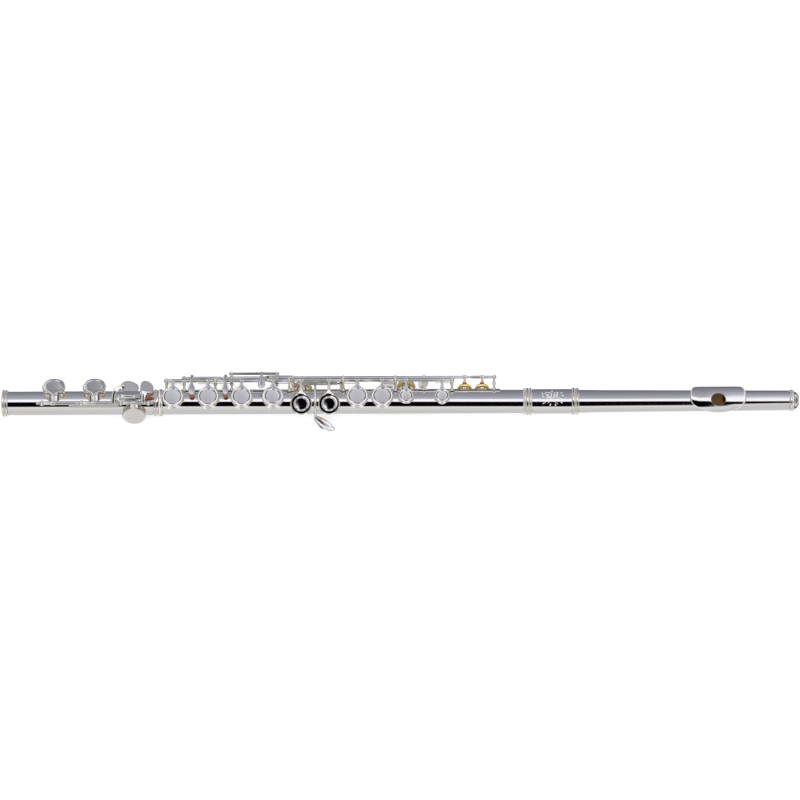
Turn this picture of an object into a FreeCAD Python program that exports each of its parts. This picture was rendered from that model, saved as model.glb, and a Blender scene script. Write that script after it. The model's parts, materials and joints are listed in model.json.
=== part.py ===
# Concert flute, C foot, closed-hole keys with offset G.
# X runs along the bore from the open foot end to the crown, +Z is the direction the
# main key cups face, +Y is the player's side (the rod side).
# Origin: centre of the open foot end, on the bore axis. Millimetres.
# Directions round the bore are degrees from +Z towards +Y.
import FreeCAD, Part
import Sketcher
import math
import os
from FreeCAD import Vector, Placement, Rotation

doc = FreeCAD.newDocument("ConcertFlute")
sheet = doc.addObject("Spreadsheet::Sheet", "Dims")

# alias, value, note
DIMS = [
    # tubes
    ("tube_r", 9.9, "body and foot tube outer radius"),
    ("bore_r", 9.5, "body and foot bore radius"),
    ("foot_end", 0.0, "open foot end"),
    ("foot_tube_end", 120.3, "foot tube end inside its socket"),
    ("socket_start", 117.0, "socket sleeve start"),
    ("socket_end", 136.0, "socket sleeve mouth"),
    ("socket_r", 10.4, "socket sleeve outer radius"),
    ("fit_gap", 0.04, "radial running clearance"),
    ("body_start", 120.5, "body tube tenon end"),
    ("body_end", 445.0, "body tube end inside the barrel"),
    ("barrel_start", 440.5, "barrel start"),
    ("barrel_end", 487.7, "barrel mouth"),
    ("barrel_r", 10.3, "barrel outer radius"),
    ("tenon_r", 9.65, "head joint tenon outer radius"),
    ("head_start", 445.3, "head joint tenon end"),
    ("head_end", 665.4, "head tube end at the crown"),
    ("head_wall", 0.42, "head tube wall"),
    ("head_tip_r", 8.4, "head tube outer radius at the crown"),
    ("ring_r", 11.3, "reinforcing ring outer radius"),
    ("rib_height", 1.0, "rib thickness on the tube"),
    # tone holes
    ("rim_h", 12.3, "height of the tone hole rims above the bore axis"),
    ("chimney_wall", 0.55, "tone hole chimney wall"),
    ("hole_foot", 7.8, "foot tone hole radius"),
    ("hole_low", 6.9, "tone hole radius, low notes"),
    ("hole_mid", 6.6, "tone hole radius, left hand"),
    ("hole_thumb", 6.0, "thumb tone hole radius"),
    ("hole_trill", 3.9, "trill tone hole radius"),
    ("hole_csharp", 3.5, "upper C sharp tone hole radius"),
    # key cups and pads
    ("cup_r", 9.2, "large cup radius"),
    ("cup_foot_r", 9.9, "foot cup radius"),
    ("cup_thumb_r", 8.0, "thumb cup radius"),
    ("cup_small_r", 6.6, "small cup radius"),
    ("cup_trill_r", 6.2, "trill cup radius"),
    ("cup_h", 3.2, "cup height above the pad face"),
    ("pad_gap", 0.05, "gap left under a closed pad"),
    ("pad_proud", 0.7, "how far a pad stands out of its cup"),
    # rods
    ("rod_dist", 19.7, "main rod distance from the bore axis"),
    ("rod_ang", 54.3, "main rod direction, degrees from +Z towards +Y"),
    ("trill_dist", 20.7, "trill rod distance"),
    ("trill_ang", 70.2, "trill rod direction"),
    ("side_dist", 24.4, "side lever rod distance"),
    ("side_ang", 68.4, "side lever rod direction"),
    ("gs_dist", 16.0, "G sharp rod distance"),
    ("gs_ang", 62.0, "G sharp rod direction"),
    ("thumb_dist", 17.0, "thumb rod distance"),
    ("thumb_ang", 158.0, "thumb rod direction"),
    ("foot_dist", 19.2, "foot rod distance"),
    ("foot_ang", -15.0, "foot rod direction"),
    ("steel_r", 0.9, "main steel radius"),
    ("steel_small_r", 0.75, "small steel radius"),
    ("hinge_r", 1.55, "hinge tube radius"),
    ("hinge_small_r", 1.3, "small hinge tube radius"),
    ("post_ball_r", 2.2, "post head radius"),
    ("post_half", 1.4, "half thickness of a post head"),
    # cup directions, degrees from +Z towards +Y
    ("g_dir", -25.0, "offset G cups"),
    ("trill_dir", 100.0, "trill cups"),
    ("thumb_dir", 112.0, "thumb cup"),
    ("gs_dir", 114.0, "G sharp cup"),
    ("foot_dir", 45.0, "foot C and C sharp cups"),
    ("ds_dir", -65.0, "foot D sharp cup"),
    ("lip_dir", -10.0, "embouchure hole"),
    # how far each key stands open at rest, degrees
    ("open_main", 9.0, "main stack"),
    ("open_g", 7.5, "G keys"),
    ("open_thumb", 10.5, "thumb key"),
    ("open_foot", 8.5, "foot C and C sharp"),
    # positions along the bore
    ("pos_low_c", 44.3, "C cup"),
    ("pos_low_cs", 78.5, "low C sharp cup"),
    ("pos_ds", 111.9, "D sharp cup"),
    ("pos_d", 144.9, "D cup"),
    ("pos_e", 174.7, "E cup"),
    ("pos_f", 202.9, "F cup"),
    ("pos_fs", 229.3, "F sharp cup"),
    ("pos_glow", 253.2, "lower G cup"),
    ("pos_gup", 276.6, "upper G cup"),
    ("pos_gs", 253.2, "G sharp cup"),
    ("pos_a", 300.5, "A cup"),
    ("pos_bf", 321.5, "B flat cup"),
    ("pos_index", 341.7, "index finger plate"),
    ("pos_thumb", 341.7, "thumb cup"),
    ("pos_cs", 372.0, "upper C sharp cup"),
    ("pos_dtr", 391.2, "D trill cup"),
    ("pos_dstr", 406.0, "D sharp trill cup"),
    # embouchure, stopper and crown
    ("pos_emb", 604.9, "embouchure hole"),
    ("emb_len", 12.2, "embouchure hole length"),
    ("emb_wid", 10.4, "embouchure hole width"),
    ("lip_top", 13.6, "lip plate crest above the bore axis"),
    ("lip_curve_r", 12.0, "lip plate outer curve radius"),
    ("lip_len", 47.0, "lip plate length"),
    ("lip_wid", 22.6, "lip plate chord width"),
    ("lip_far", 10.4, "lip plate reach on the far side of the hole"),
    ("lip_corner", 5.5, "lip plate corner radius on the player's side"),
    ("crown_r", 9.15, "crown radius"),
    ("crown_len", 8.6, "crown length outside the tube"),
    ("stopper_face", 622.2, "stopper face"),
]
for row, (alias, value, note) in enumerate(DIMS, 1):
    sheet.set("A%d" % row, note)
    sheet.set("B%d" % row, repr(value))
    sheet.setAlias("B%d" % row, alias)
doc.recompute()

# Post places along X. Main rod posts are numbered from the foot end; posts 4 and 5
# share their place with a trill rod post.
POST_1, POST_2, POST_3, POST_4, POST_5, POST_6 = 139.3, 180.5, 243.0, 288.6, 332.6, 380.4
TRILL_POSTS = (154.1, 416.0)
TRILL_MID_POST = 356.8
SIDE_POSTS = (194.3, 232.4)
GS_POSTS = (248.5, 285.0)
THUMB_POSTS = (318.0, 362.0)
FOOT_POSTS = (34.8, 67.9, 101.5, 124.5)

# ---------------------------------------------------------------- driven quantities


class Quantity:
    """A number and the sheet expression that gives it."""

    def __init__(self, value, expr=None):
        self.value = float(value)
        self.expr = expr or repr(self.value)
        self.driven = "Dims" in self.expr

    def _join(self, sign, other, result):
        other = quantity(other)
        return Quantity(result(self.value, other.value),
                        "(%s %s %s)" % (self.expr, sign, other.expr))

    def __add__(self, other):
        return self._join("+", other, lambda a, b: a + b)

    def __sub__(self, other):
        return self._join("-", other, lambda a, b: a - b)

    def __mul__(self, other):
        return self._join("*", other, lambda a, b: a * b)

    def __truediv__(self, other):
        return self._join("/", other, lambda a, b: a / b)

    def __neg__(self):
        return Quantity(0) - self


def quantity(number):
    return number if isinstance(number, Quantity) else Quantity(number)


def dim(alias):
    return Quantity(float(sheet.get(alias)), "Dims." + alias)


def sine(angle):
    return Quantity(math.sin(math.radians(angle.value)), "sin(%s)" % angle.expr)


def cosine(angle):
    return Quantity(math.cos(math.radians(angle.value)), "cos(%s)" % angle.expr)


def yz_at(distance, direction):
    """Point (y, z) at a distance from the bore axis in a direction."""
    return distance * sine(direction), distance * cosine(direction)


def plain(numbers):
    return tuple(quantity(number).value for number in numbers)


def drive(obj, path, number):
    """Bind a property path to the sheet if the number depends on it."""
    if number.driven:
        obj.setExpression(path, number.expr)


def size(obj, prop, number):
    """Set a property, or bind it to the sheet if the number depends on it."""
    number = quantity(number)
    if number.driven:
        obj.setExpression(prop, number.expr)
    else:
        setattr(obj, prop, number.value)


def place(obj, x=0, y=0, z=0, rotation=None):
    obj.Placement = Placement(Vector(*plain((x, y, z))), rotation or Rotation())
    for name, number in zip("xyz", (x, y, z)):
        drive(obj, "Placement.Base." + name, quantity(number))
    return obj


# ---------------------------------------------------------------- solids

ALONG_X = Rotation(Vector(0, 1, 0), 90)
YZ = Rotation(Vector(1, 1, 1), 120)
XZ = Rotation(Vector(1, 0, 0), 90)
name_counts = {}


def new(kind, name):
    name_counts[name] = name_counts.get(name, 0) + 1
    return doc.addObject(kind, "%s_%d" % (name, name_counts[name]))


def rod(name, radius, x0, x1, at=(0, 0)):
    """Cylinder along X from x0 to x1, its axis at (y, z)."""
    cylinder = new("Part::Cylinder", name)
    size(cylinder, "Radius", radius)
    size(cylinder, "Height", quantity(x1) - x0)
    return place(cylinder, x0, at[0], at[1], ALONG_X)


def peg(name, radius, height, x, z=0, y=0):
    """Cylinder along +Z."""
    cylinder = new("Part::Cylinder", name)
    size(cylinder, "Radius", radius)
    size(cylinder, "Height", height)
    return place(cylinder, x, y, z)


def close_outline(sketch, points):
    """Closed polygon, each corner dimensioned from the sketch origin."""
    points = [tuple(quantity(number) for number in point) for point in points]
    count = len(points)
    for i in range(count):
        start, end = plain(points[i]), plain(points[(i + 1) % count])
        sketch.addGeometry(Part.LineSegment(Vector(*start, 0), Vector(*end, 0)))
    for i in range(count):
        sketch.addConstraint(Sketcher.Constraint("Coincident", i, 2, (i + 1) % count, 1))
    for i, point in enumerate(points):
        for kind, number in zip(("DistanceX", "DistanceY"), point):
            k = sketch.addConstraint(Sketcher.Constraint(kind, -1, 1, i, 1, number.value))
            drive(sketch, "Constraints[%d]" % k, number)
    return sketch


def slab(name, points, start, end, plane="yz"):
    """Polygon extruded. Plane yz: corners (y, z), extruded along X from start to end.
    Plane xy: corners (x, y), extruded along Z from start to end."""
    sketch = close_outline(new("Sketcher::SketchObject", name + "Sketch"), points)
    solid = new("Part::Extrusion", name)
    if plane == "yz":
        place(sketch, start, 0, 0, YZ)
        solid.Dir = Vector(1, 0, 0)
    else:
        place(sketch, 0, 0, start)
        solid.Dir = Vector(0, 0, 1)
    solid.Base = sketch
    solid.DirMode = "Custom"
    size(solid, "LengthFwd", quantity(end) - start)
    solid.Solid = True
    return solid


def turned(name, points, x=0, rotation=None):
    """Polygon of (radius, height) turned about the local Z axis."""
    sketch = close_outline(new("Sketcher::SketchObject", name + "Sketch"), points)
    sketch.Placement = Placement(Vector(0, 0, 0), XZ)
    solid = new("Part::Revolution", name)
    solid.Source = sketch
    solid.Axis = Vector(0, 0, 1)
    solid.Base = Vector(0, 0, 0)
    solid.Angle = 360
    solid.Solid = True
    return place(solid, x, 0, 0, rotation)


def oval(name, half_length, half_width, z0, z1):
    """Upright oval prism at the embouchure hole place."""
    ellipse = new("Part::Ellipse", name + "Oval")
    size(ellipse, "MajorRadius", half_length)
    size(ellipse, "MinorRadius", half_width)
    place(ellipse, dim("pos_emb"), 0, z0)
    prism = new("Part::Extrusion", name)
    prism.Base = ellipse
    prism.DirMode = "Custom"
    prism.Dir = Vector(0, 0, 1)
    size(prism, "LengthFwd", quantity(z1) - z0)
    prism.Solid = True
    return prism


def fuse(name, parts):
    if len(parts) == 1:
        return parts[0]
    fusion = new("Part::MultiFuse", name)
    fusion.Shapes = parts
    fusion.Refine = True
    return fusion


def cut(name, base, tool):
    result = new("Part::Cut", name)
    result.Base = base
    result.Tool = tool
    result.Refine = True
    return result


def common(name, parts):
    overlap = new("Part::MultiCommon", name)
    overlap.Shapes = parts
    return overlap


def group(name, parts):
    compound = new("Part::Compound", name)
    compound.Links = parts
    return compound


def sector(name, r_in, r_out, dir0, dir1, x0, x1):
    """Strip of a ring along X between directions dir0 and dir1, in degrees."""
    strip = rod(name, r_out, x0, x1)
    strip.Angle = dir1 - dir0
    turn = ALONG_X.multiply(Rotation(Vector(0, 0, 1), 180 - dir1))
    strip.Placement = Placement(strip.Placement.Base, turn)
    return cut(name + "Strip", strip, rod(name + "In", r_in, x0 - 1, x1 + 1))


def face(obj, direction, x=0):
    """Turn an object built facing +Z so that it faces a direction round the bore."""
    angle, axis_x = (direction, -1) if direction.value >= 0 else (-direction, 1)
    place(obj, x, 0, 0, Rotation(Vector(axis_x, 0, 0), angle.value))
    drive(obj, "Placement.Rotation.Angle", angle)
    return obj


def aimed(parts, direction):
    """Parts built facing +Z, joined and turned to face a direction."""
    return face(group("Facing", [fuse("FacingWhole", parts)]), direction)


def swing(obj, axis, angle, sense):
    """Turn a key about its rod: sense +1 is about +X, -1 about -X."""
    y, z = axis
    c, s = cosine(angle), sine(angle) * sense
    place(obj, 0, y - (y * c - z * s), z - (y * s + z * c),
          Rotation(Vector(sense, 0, 0), angle.value))
    drive(obj, "Placement.Rotation.Angle", angle)
    return obj


# ---------------------------------------------------------------- bodies and sub-parts

exported = {}


def named(label, obj):
    obj.Label = label
    return obj


def part(label, obj):
    """Name an object and list it for export."""
    exported[label] = named(label, obj)
    return obj


def gather(label, pieces):
    """Several pieces fixed to each other, kept as separate solids of one sub-part."""
    for piece in pieces:
        piece.Label = piece.Label + "_piece"
    return part(label, group(label, pieces))


def body_with_sketch(name, sketch_name, plane):
    """A PartDesign body with a sketch on one of its origin planes."""
    body = named(name, doc.addObject("PartDesign::Body", "Body_" + name))
    sketch = body.newObject("Sketcher::SketchObject", sketch_name + name)
    origin_plane = [f for f in body.Origin.OriginFeatures if f.Role == plane][0]
    sketch.AttachmentSupport = [(origin_plane, "")]
    sketch.MapMode = "FlatFace"
    return body, sketch


def turned_body(name, outline, axis="H_Axis"):
    """Body turned about X from (x, radius), or with V_Axis about Z from (radius, z)."""
    body, sketch = body_with_sketch(name, "Outline_", "XZ_Plane")
    close_outline(sketch, outline)
    turn = body.newObject("PartDesign::Revolution", "Turn_" + name)
    turn.Profile = sketch
    turn.ReferenceAxis = (sketch, [axis])
    turn.Angle = 360
    body.Tip = turn
    return body


def rod_body(name, radius, x0, x1, axis):
    """Body: a round rod along X, padded from a circle."""
    body, sketch = body_with_sketch(name, "Section_", "YZ_Plane")
    sketch.addGeometry(Part.Circle(Vector(0, 0, 0), Vector(0, 0, 1), radius.value))
    sketch.addConstraint(Sketcher.Constraint("Coincident", 0, 3, -1, 1))
    k = sketch.addConstraint(Sketcher.Constraint("Radius", 0, radius.value))
    drive(sketch, "Constraints[%d]" % k, radius)
    pad_feature = body.newObject("PartDesign::Pad", "Length_" + name)
    pad_feature.Profile = sketch
    pad_feature.Length = x1 - x0
    body.Tip = pad_feature
    return place(body, x0, *axis)


# ---------------------------------------------------------------- shared relations

UP = Quantity(0)
SHUT = Quantity(0)

# rod axes as (y, z)
MAIN, TRILL, SIDE, GS, THUMB, FOOT = [
    yz_at(dim(rod_name + "_dist"), dim(rod_name + "_ang"))
    for rod_name in ("rod", "trill", "side", "gs", "thumb", "foot")]

# resting position of the keys: rod axis, opening angle, sense of the turn
MAIN_REST = (MAIN, dim("open_main"), -1)
G_REST = (MAIN, dim("open_g"), -1)
GS_REST = (GS, SHUT, 1)
THUMB_REST = (THUMB, dim("open_thumb"), -1)
TRILL_REST = (TRILL, SHUT, 1)
SIDE_REST = (SIDE, SHUT, 1)
FOOT_REST = (FOOT, dim("open_foot"), 1)
DS_REST = (FOOT, SHUT, 1)

TIGHT = 0.02        # radial gap between fixed pieces
CUT_GAP = 0.03      # gap round the chimneys where another piece is cut away
RIB_OUT = dim("tube_r") + dim("rib_height")
HEAD_BORE = dim("head_tip_r") - 0.35

STEEL, SMALL_STEEL = dim("steel_r"), dim("steel_small_r")
MAIN_BORE = STEEL + dim("fit_gap")
SMALL_BORE = SMALL_STEEL + dim("fit_gap")
PINNED_BORE = STEEL + TIGHT
PINNED_SMALL_BORE = SMALL_STEEL + TIGHT
HINGE, SMALL_HINGE = dim("hinge_r"), dim("hinge_small_r")

# ---------------------------------------------------------------- tubes and tone holes

# position, direction, radius
HOLES = {
    "foot": [
        ("pos_low_c", dim("foot_dir"), "hole_foot"),
        ("pos_low_cs", dim("foot_dir"), "hole_foot"),
        ("pos_ds", dim("ds_dir"), "hole_foot"),
    ],
    "body": [
        ("pos_d", UP, "hole_low"),
        ("pos_e", UP, "hole_low"),
        ("pos_f", UP, "hole_low"),
        ("pos_fs", UP, "hole_low"),
        ("pos_glow", dim("g_dir"), "hole_mid"),
        ("pos_gup", dim("g_dir"), "hole_mid"),
        ("pos_gs", dim("gs_dir"), "hole_mid"),
        ("pos_a", UP, "hole_mid"),
        ("pos_bf", UP, "hole_mid"),
        ("pos_thumb", dim("thumb_dir"), "hole_thumb"),
        ("pos_cs", UP, "hole_csharp"),
        ("pos_dtr", dim("trill_dir"), "hole_trill"),
        ("pos_dstr", dim("trill_dir"), "hole_trill"),
    ],
}
CHIMNEY_BASE = 5    # height above the bore axis, inside the tube


def chimneys(joint, gap=0):
    """Outer walls of one joint's tone holes; a gap makes them wider and 20 gaps taller."""
    walls = []
    for pos, direction, radius in HOLES[joint]:
        wall = peg("Chimney", dim(radius) + dim("chimney_wall") + gap,
                   dim("rim_h") - CHIMNEY_BASE + gap * 20, dim(pos), CHIMNEY_BASE)
        walls.append(face(group("ChimneyAt", [wall]), direction))
    return walls


def build_tube(label, joint, x0, x1):
    bores = [rod(label + "Bore", dim("bore_r"), x0 - 1, x1 + 1)]
    for pos, direction, radius in HOLES[joint]:
        hole = peg("Hole", dim(radius), dim("rim_h") + 1, dim(pos))
        bores.append(face(group("HoleAt", [hole]), direction))
    wall = rod(label + "Wall", dim("tube_r"), x0, x1)
    outer = fuse(label + "Outer", [wall] + chimneys(joint))
    part(label, cut(label + "Tube", outer, fuse(label + "Inner", bores)))


# ---------------------------------------------------------------- rings, socket, barrel

# ring profiles: x from the ring's datum, radius less ring_r
FOOT_END_PROFILE = [(0, -0.9), (0.5, -0.15), (1.5, 0.1), (2.5, -0.5), (3.3, 0), (4.4, 0), (5.2, -0.8)]
SOCKET_PROFILE = [
    (-7.7, -0.6), (-7.1, -0.1), (-5.8, -0.1), (-5.2, -0.5), (-3.4, -0.5),
    (-2.8, 0), (-1.6, 0.2), (-0.5, 0), (0, -0.5)]
BARREL_BODY_PROFILE = [
    (0, -0.7), (2.0, -0.45), (2.7, -0.1), (3.7, 0), (4.6, -0.1),
    (5.0, -0.5), (5.5, -0.15), (6.3, -0.05), (7.1, -0.15), (7.5, -0.6)]
BARREL_HEAD_PROFILE = [
    (-6.2, -0.6), (-5.7, -0.1), (-4.7, 0.05), (-3.7, -0.1), (-3.2, -0.5),
    (-2.6, -0.5), (-2.0, -0.2), (-1.0, -0.1), (-0.3, -0.3), (0, -0.7)]


def ring(name, datum, seat, profile):
    """Ring on a tube of radius seat, its profile laid out from the datum."""
    datum, inner = quantity(datum), dim(seat) + TIGHT
    outer = [(datum + x, dim("ring_r") + rise) for x, rise in profile]
    return turned_body(name, [(outer[0][0], inner)] + outer + [(outer[-1][0], inner)])


def build_rings():
    gather("foot_rings", [
        ring("foot_end_ring", 0, "tube_r", FOOT_END_PROFILE),
        ring("foot_socket_ring", dim("socket_end"), "socket_r", SOCKET_PROFILE)])
    gather("barrel_rings", [
        ring("barrel_ring_body", dim("barrel_start"), "barrel_r", BARREL_BODY_PROFILE),
        ring("barrel_ring_head", dim("barrel_end"), "barrel_r", BARREL_HEAD_PROFILE)])


def build_socket():
    start, end, outer = dim("socket_start"), dim("socket_end"), dim("socket_r")
    inner = dim("tube_r") + dim("fit_gap")
    sleeve = turned_body("foot_socket", [
        (start, inner), (start, outer - 0.2), (start + 0.6, outer), (end, outer), (end, inner)])
    sleeve.Label = "foot_socket_sleeve"
    relief = fuse("SocketRelief", chimneys("foot", CUT_GAP))
    part("foot_socket", cut("FootSocket", sleeve, relief))


def build_barrel():
    start, end, outer = dim("barrel_start"), dim("barrel_end"), dim("barrel_r")
    step = dim("body_end") + 0.05
    on_tube, on_tenon = dim("tube_r") + TIGHT, dim("tenon_r") + dim("fit_gap")
    part("barrel", turned_body("barrel", [
        (start, on_tube), (start, outer - 0.1), (start + 0.2, outer), (end, outer),
        (end, on_tenon), (step, on_tenon), (step, on_tube)]))


# ---------------------------------------------------------------- head joint

EMB_HALF_LENGTH, EMB_HALF_WIDTH = dim("emb_len") / 2, dim("emb_wid") / 2
RISER_WALL = 1.3
LIP_SHEET = 0.9
SEAT_DEPTH = 0.24   # riser seat below the lip plate crest
RISER_DEPTH = 0.25  # riser top below the lip plate crest


def emb_hole(name, z1):
    return oval(name, EMB_HALF_LENGTH, EMB_HALF_WIDTH, 0, z1)


def build_head_tube():
    start, end, wall = dim("head_start"), dim("head_end"), dim("head_wall")
    tenon, tenon_end = dim("tenon_r"), dim("barrel_end") + 0.2
    taper_x, taper_r = 548.0, Quantity(9.05)
    tube = turned_body("head_profile", [
        (start, tenon), (tenon_end, tenon), (505.7, 9.35), (taper_x, taper_r), (641.0, 8.5),
        (end, dim("head_tip_r")),
        (end, HEAD_BORE), (618.0, HEAD_BORE), (taper_x, taper_r - wall),
        (tenon_end, tenon - wall), (start, tenon - wall)])
    tube.Label = "head_tube_wall"
    hole = face(group("EmbHoleAt", [emb_hole("EmbHole", 14)]), dim("lip_dir"))
    part("head_tube", cut("HeadTube", tube, hole))


def lip_curve(name, radius):
    """Cylinder on the axis of the lip plate's curve."""
    x = dim("pos_emb")
    return rod(name, radius, x - 30, x + 30, (0, dim("lip_top") - dim("lip_curve_r")))


def build_riser():
    """Oval wall between the head tube and the lip plate."""
    # solid shape of the head tube's outside under the riser
    core = turned("HeadCore", [(0, 580), (8.861, 580), (8.5, 641), (0, 641)], rotation=ALONG_X)
    riser = common("Riser", [
        oval("RiserOuter", EMB_HALF_LENGTH + RISER_WALL, EMB_HALF_WIDTH + RISER_WALL, 4, 16),
        lip_curve("LipCap", dim("lip_curve_r") - RISER_DEPTH)])
    riser_at = face(group("RiserAt", [riser]), dim("lip_dir"))
    hole_at = face(group("RiserHoleAt", [emb_hole("RiserHole", 17)]), dim("lip_dir"))
    part("embouchure_riser", cut("EmbouchureRiser", riser_at, fuse("RiserTool", [hole_at, core])))


def build_lip_plate():
    """Curved sheet, squared off with round corners on the player's side, half an oval
    on the far side."""
    emb, curve = dim("pos_emb"), dim("lip_curve_r")
    shell = cut("LipShell", lip_curve("LipOuter", curve), lip_curve("LipInner", curve - LIP_SHEET))
    bottom, height = 2, 16
    half, near, corner = dim("lip_len") / 2, dim("lip_wid") / 2, dim("lip_corner")
    flat = half - corner
    outline = [peg("LipCorner", corner, height, emb + offset, bottom, near - corner)
               for offset in (flat, -flat)]
    for name, half_length, width in (("LipNear", flat, near), ("LipEnds", half, near - corner)):
        box = new("Part::Box", name)
        size(box, "Length", half_length * 2)
        size(box, "Width", width)
        size(box, "Height", height)
        outline.append(place(box, emb - half_length, 0, bottom))
    outline.append(oval("LipFar", half, dim("lip_far"), bottom, bottom + height))
    plan = common("LipPlan", [shell, fuse("LipEdge", outline)])
    plan.Refine = True
    seat_wall = RISER_WALL + TIGHT
    holes = fuse("LipHole", [
        emb_hole("LipHoleTop", 19),
        oval("LipHoleSeat", EMB_HALF_LENGTH + seat_wall, EMB_HALF_WIDTH + seat_wall,
             0, dim("lip_top") - SEAT_DEPTH)])
    plate = cut("LipPlate", plan, holes)
    part("lip_plate", face(group("lip_plate_at", [plate]), dim("lip_dir")))


def build_stopper():
    plate_start, head_end = dim("stopper_face"), dim("head_end")
    cork_start, cork_end = plate_start + 1.0, plate_start + 18.5
    nut_end = cork_end + 1.2
    screw_r, nut_r, plate_r = 2.0, 6.2, HEAD_BORE - 0.06
    screw_hole, cork_r = screw_r + TIGHT, HEAD_BORE - 0.05
    gather("stopper_fittings", [
        turned_body("stopper_plate", [
            (plate_start, 0), (plate_start, plate_r), (cork_start, plate_r), (cork_start, 0)]),
        turned_body("stopper_nut", [
            (cork_end, screw_hole), (cork_end, nut_r), (nut_end, nut_r), (nut_end, screw_hole)]),
        turned_body("stopper_screw", [
            (cork_start, 0), (cork_start, screw_r), (head_end + 0.3, screw_r),
            (head_end + 0.8, 1.5), (head_end + 0.8, 0)])])
    part("stopper_cork", turned_body("stopper_cork", [
        (cork_start, screw_hole), (cork_start, cork_r), (cork_end, cork_r),
        (cork_end, screw_hole)]))


def build_crown():
    base, radius, length = dim("head_end"), dim("crown_r"), dim("crown_len")
    plug_r, screw_hole = HEAD_BORE - 0.08, 2.06
    # dome: x beyond the tube end, radius less than the crown's
    dome = [(0.05, 0.2), (0.5, 0), (3.6, 0), (4.1, 0.5), (4.4, 0.7), (5.6, 1.55), (6.8, 2.8),
            (7.8, 4.2), (8.4, 5.4), (length, 6.4)]
    part("crown", turned_body("crown", [
        (base - 7, screw_hole), (base - 7, plug_r), (base + 0.05, plug_r),
        *[(base + x, radius - drop) for x, drop in dome],
        (base + length, 0), (base + 2.2, 0), (base + 2.2, screw_hole)]))


# ---------------------------------------------------------------- ribs


def rib(name, dir0, dir1, x0, x1):
    return sector(name, dim("tube_r"), RIB_OUT, dir0, dir1, x0, x1)


def build_ribs():
    main_rib = cut("BodyRib", rib("RibMain", 51.0, 67.0, 136.6, 421.0),
                   fuse("RibRelief", chimneys("body", CUT_GAP)))
    thumb_ribs = [rib("RibThumb", 144.0, 172.0, x - 4.5, x + 4.5) for x in THUMB_POSTS]
    gather("body_ribs", [named("main_rib", main_rib),
                         named("thumb_rib", group("thumb_rib", thumb_ribs))])
    foot_strip = fuse("RibFootAll", [rib("RibFoot", -21.5, -8.5, 29.5, 128.0),
                                     rib("RibFootWide", -36.0, -15.0, 57.0, 99.0)])
    socket = rod("SocketRelief", dim("socket_r") + CUT_GAP, 116.9, 140.0)
    relief = fuse("FootRibRelief", [socket] + chimneys("foot", CUT_GAP))
    part("foot_rib", cut("FootRib", foot_strip, relief))


# ---------------------------------------------------------------- posts

POST_HALF = dim("post_half")
POST_FOOT_R = 2.0       # radius at the root of the flared foot
POST_FOOT_RISE = 1.5    # length of the flared foot
POST_STEM_R = 1.15      # stem radius at the rib
POST_LINK_R = 1.0       # radius at the start of the stem between two heads
POST_NECK_R = 0.95      # stem radius at a head
POST_SINK = 0.5         # start of the stem below the rib surface
POST_CUT = 4            # half length of the bores and seats

# one head of a post: rod axis, head radius, bore radius
BALL = dim("post_ball_r")
SMALL_BALL = BALL - 0.2
MAIN_HEAD = (MAIN, BALL, MAIN_BORE)
TRILL_END_HEAD = (TRILL, SMALL_BALL, SMALL_BORE)
TRILL_TUBE_HEAD = (TRILL, SMALL_BALL, SMALL_HINGE + dim("fit_gap"))
SIDE_HEAD = (SIDE, 1.75, SMALL_BORE)
GS_HEAD = (GS, SMALL_BALL, SMALL_BORE)
THUMB_HEAD = (THUMB, SMALL_BALL, SMALL_BORE)
FOOT_HEAD = (FOOT, BALL, MAIN_BORE)

# direction of the post bases, degrees
MAIN_BASE, PAIR_BASE = 54.0, 53.5
TRILL_BASE, TRILL_PAIR_BASE = 62.0, 63.0
GS_BASE = 59.5


def toward(start, end, distance):
    """Point at a distance from start on the way to end."""
    dy, dz = end[0] - start[0], end[1] - start[1]
    share = distance / math.hypot(dy, dz)
    return start[0] + share * dy, start[1] + share * dz


def taper(name, x, start, end, r0, r1):
    """Cone between two (y, z) points in the plane X = x."""
    dy, dz = end[0] - start[0], end[1] - start[1]
    cone = new("Part::Cone", name)
    size(cone, "Radius1", r0)
    size(cone, "Radius2", r1)
    size(cone, "Height", math.hypot(dy, dz))
    turn = Rotation(Vector(1, 0, 0), -math.degrees(math.atan2(dy, dz)))
    return place(cone, x, *start, turn)


def post_head(x, axis, radius):
    """Ball flattened on both faces."""
    ball = new("Part::Sphere", "PostHead")
    size(ball, "Radius", radius)
    place(ball, x, *axis)
    x = Quantity(x)
    slice_r = quantity(radius) + 1
    return common("PostHeadFlat", [
        ball, rod("PostHeadSlice", slice_r, x - POST_HALF, x + POST_HALF, axis)])


def post(x, base_dir, *heads):
    """One post, its heads given nearest the tube first."""
    root = plain(yz_at(RIB_OUT - POST_SINK, quantity(base_dir)))
    foot_top = toward(root, plain(heads[0][0]), POST_FOOT_RISE)
    solids = [taper("PostFoot", x, root, foot_top, POST_FOOT_R, POST_STEM_R)]
    holes = []
    start, start_r = root, POST_STEM_R
    for axis, radius, bore in heads:
        end = plain(axis)
        solids.append(taper("PostStem", x, start, end, start_r, POST_NECK_R))
        solids.append(post_head(x, axis, radius))
        holes.append(rod("PostBore", bore, x - POST_CUT, x + POST_CUT, axis))
        start, start_r = end, POST_LINK_R
    holes.append(rod("PostSeat", RIB_OUT, x - POST_CUT, x + POST_CUT))
    return cut("Post", fuse("PostWhole", solids), fuse("PostHoles", holes))


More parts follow.
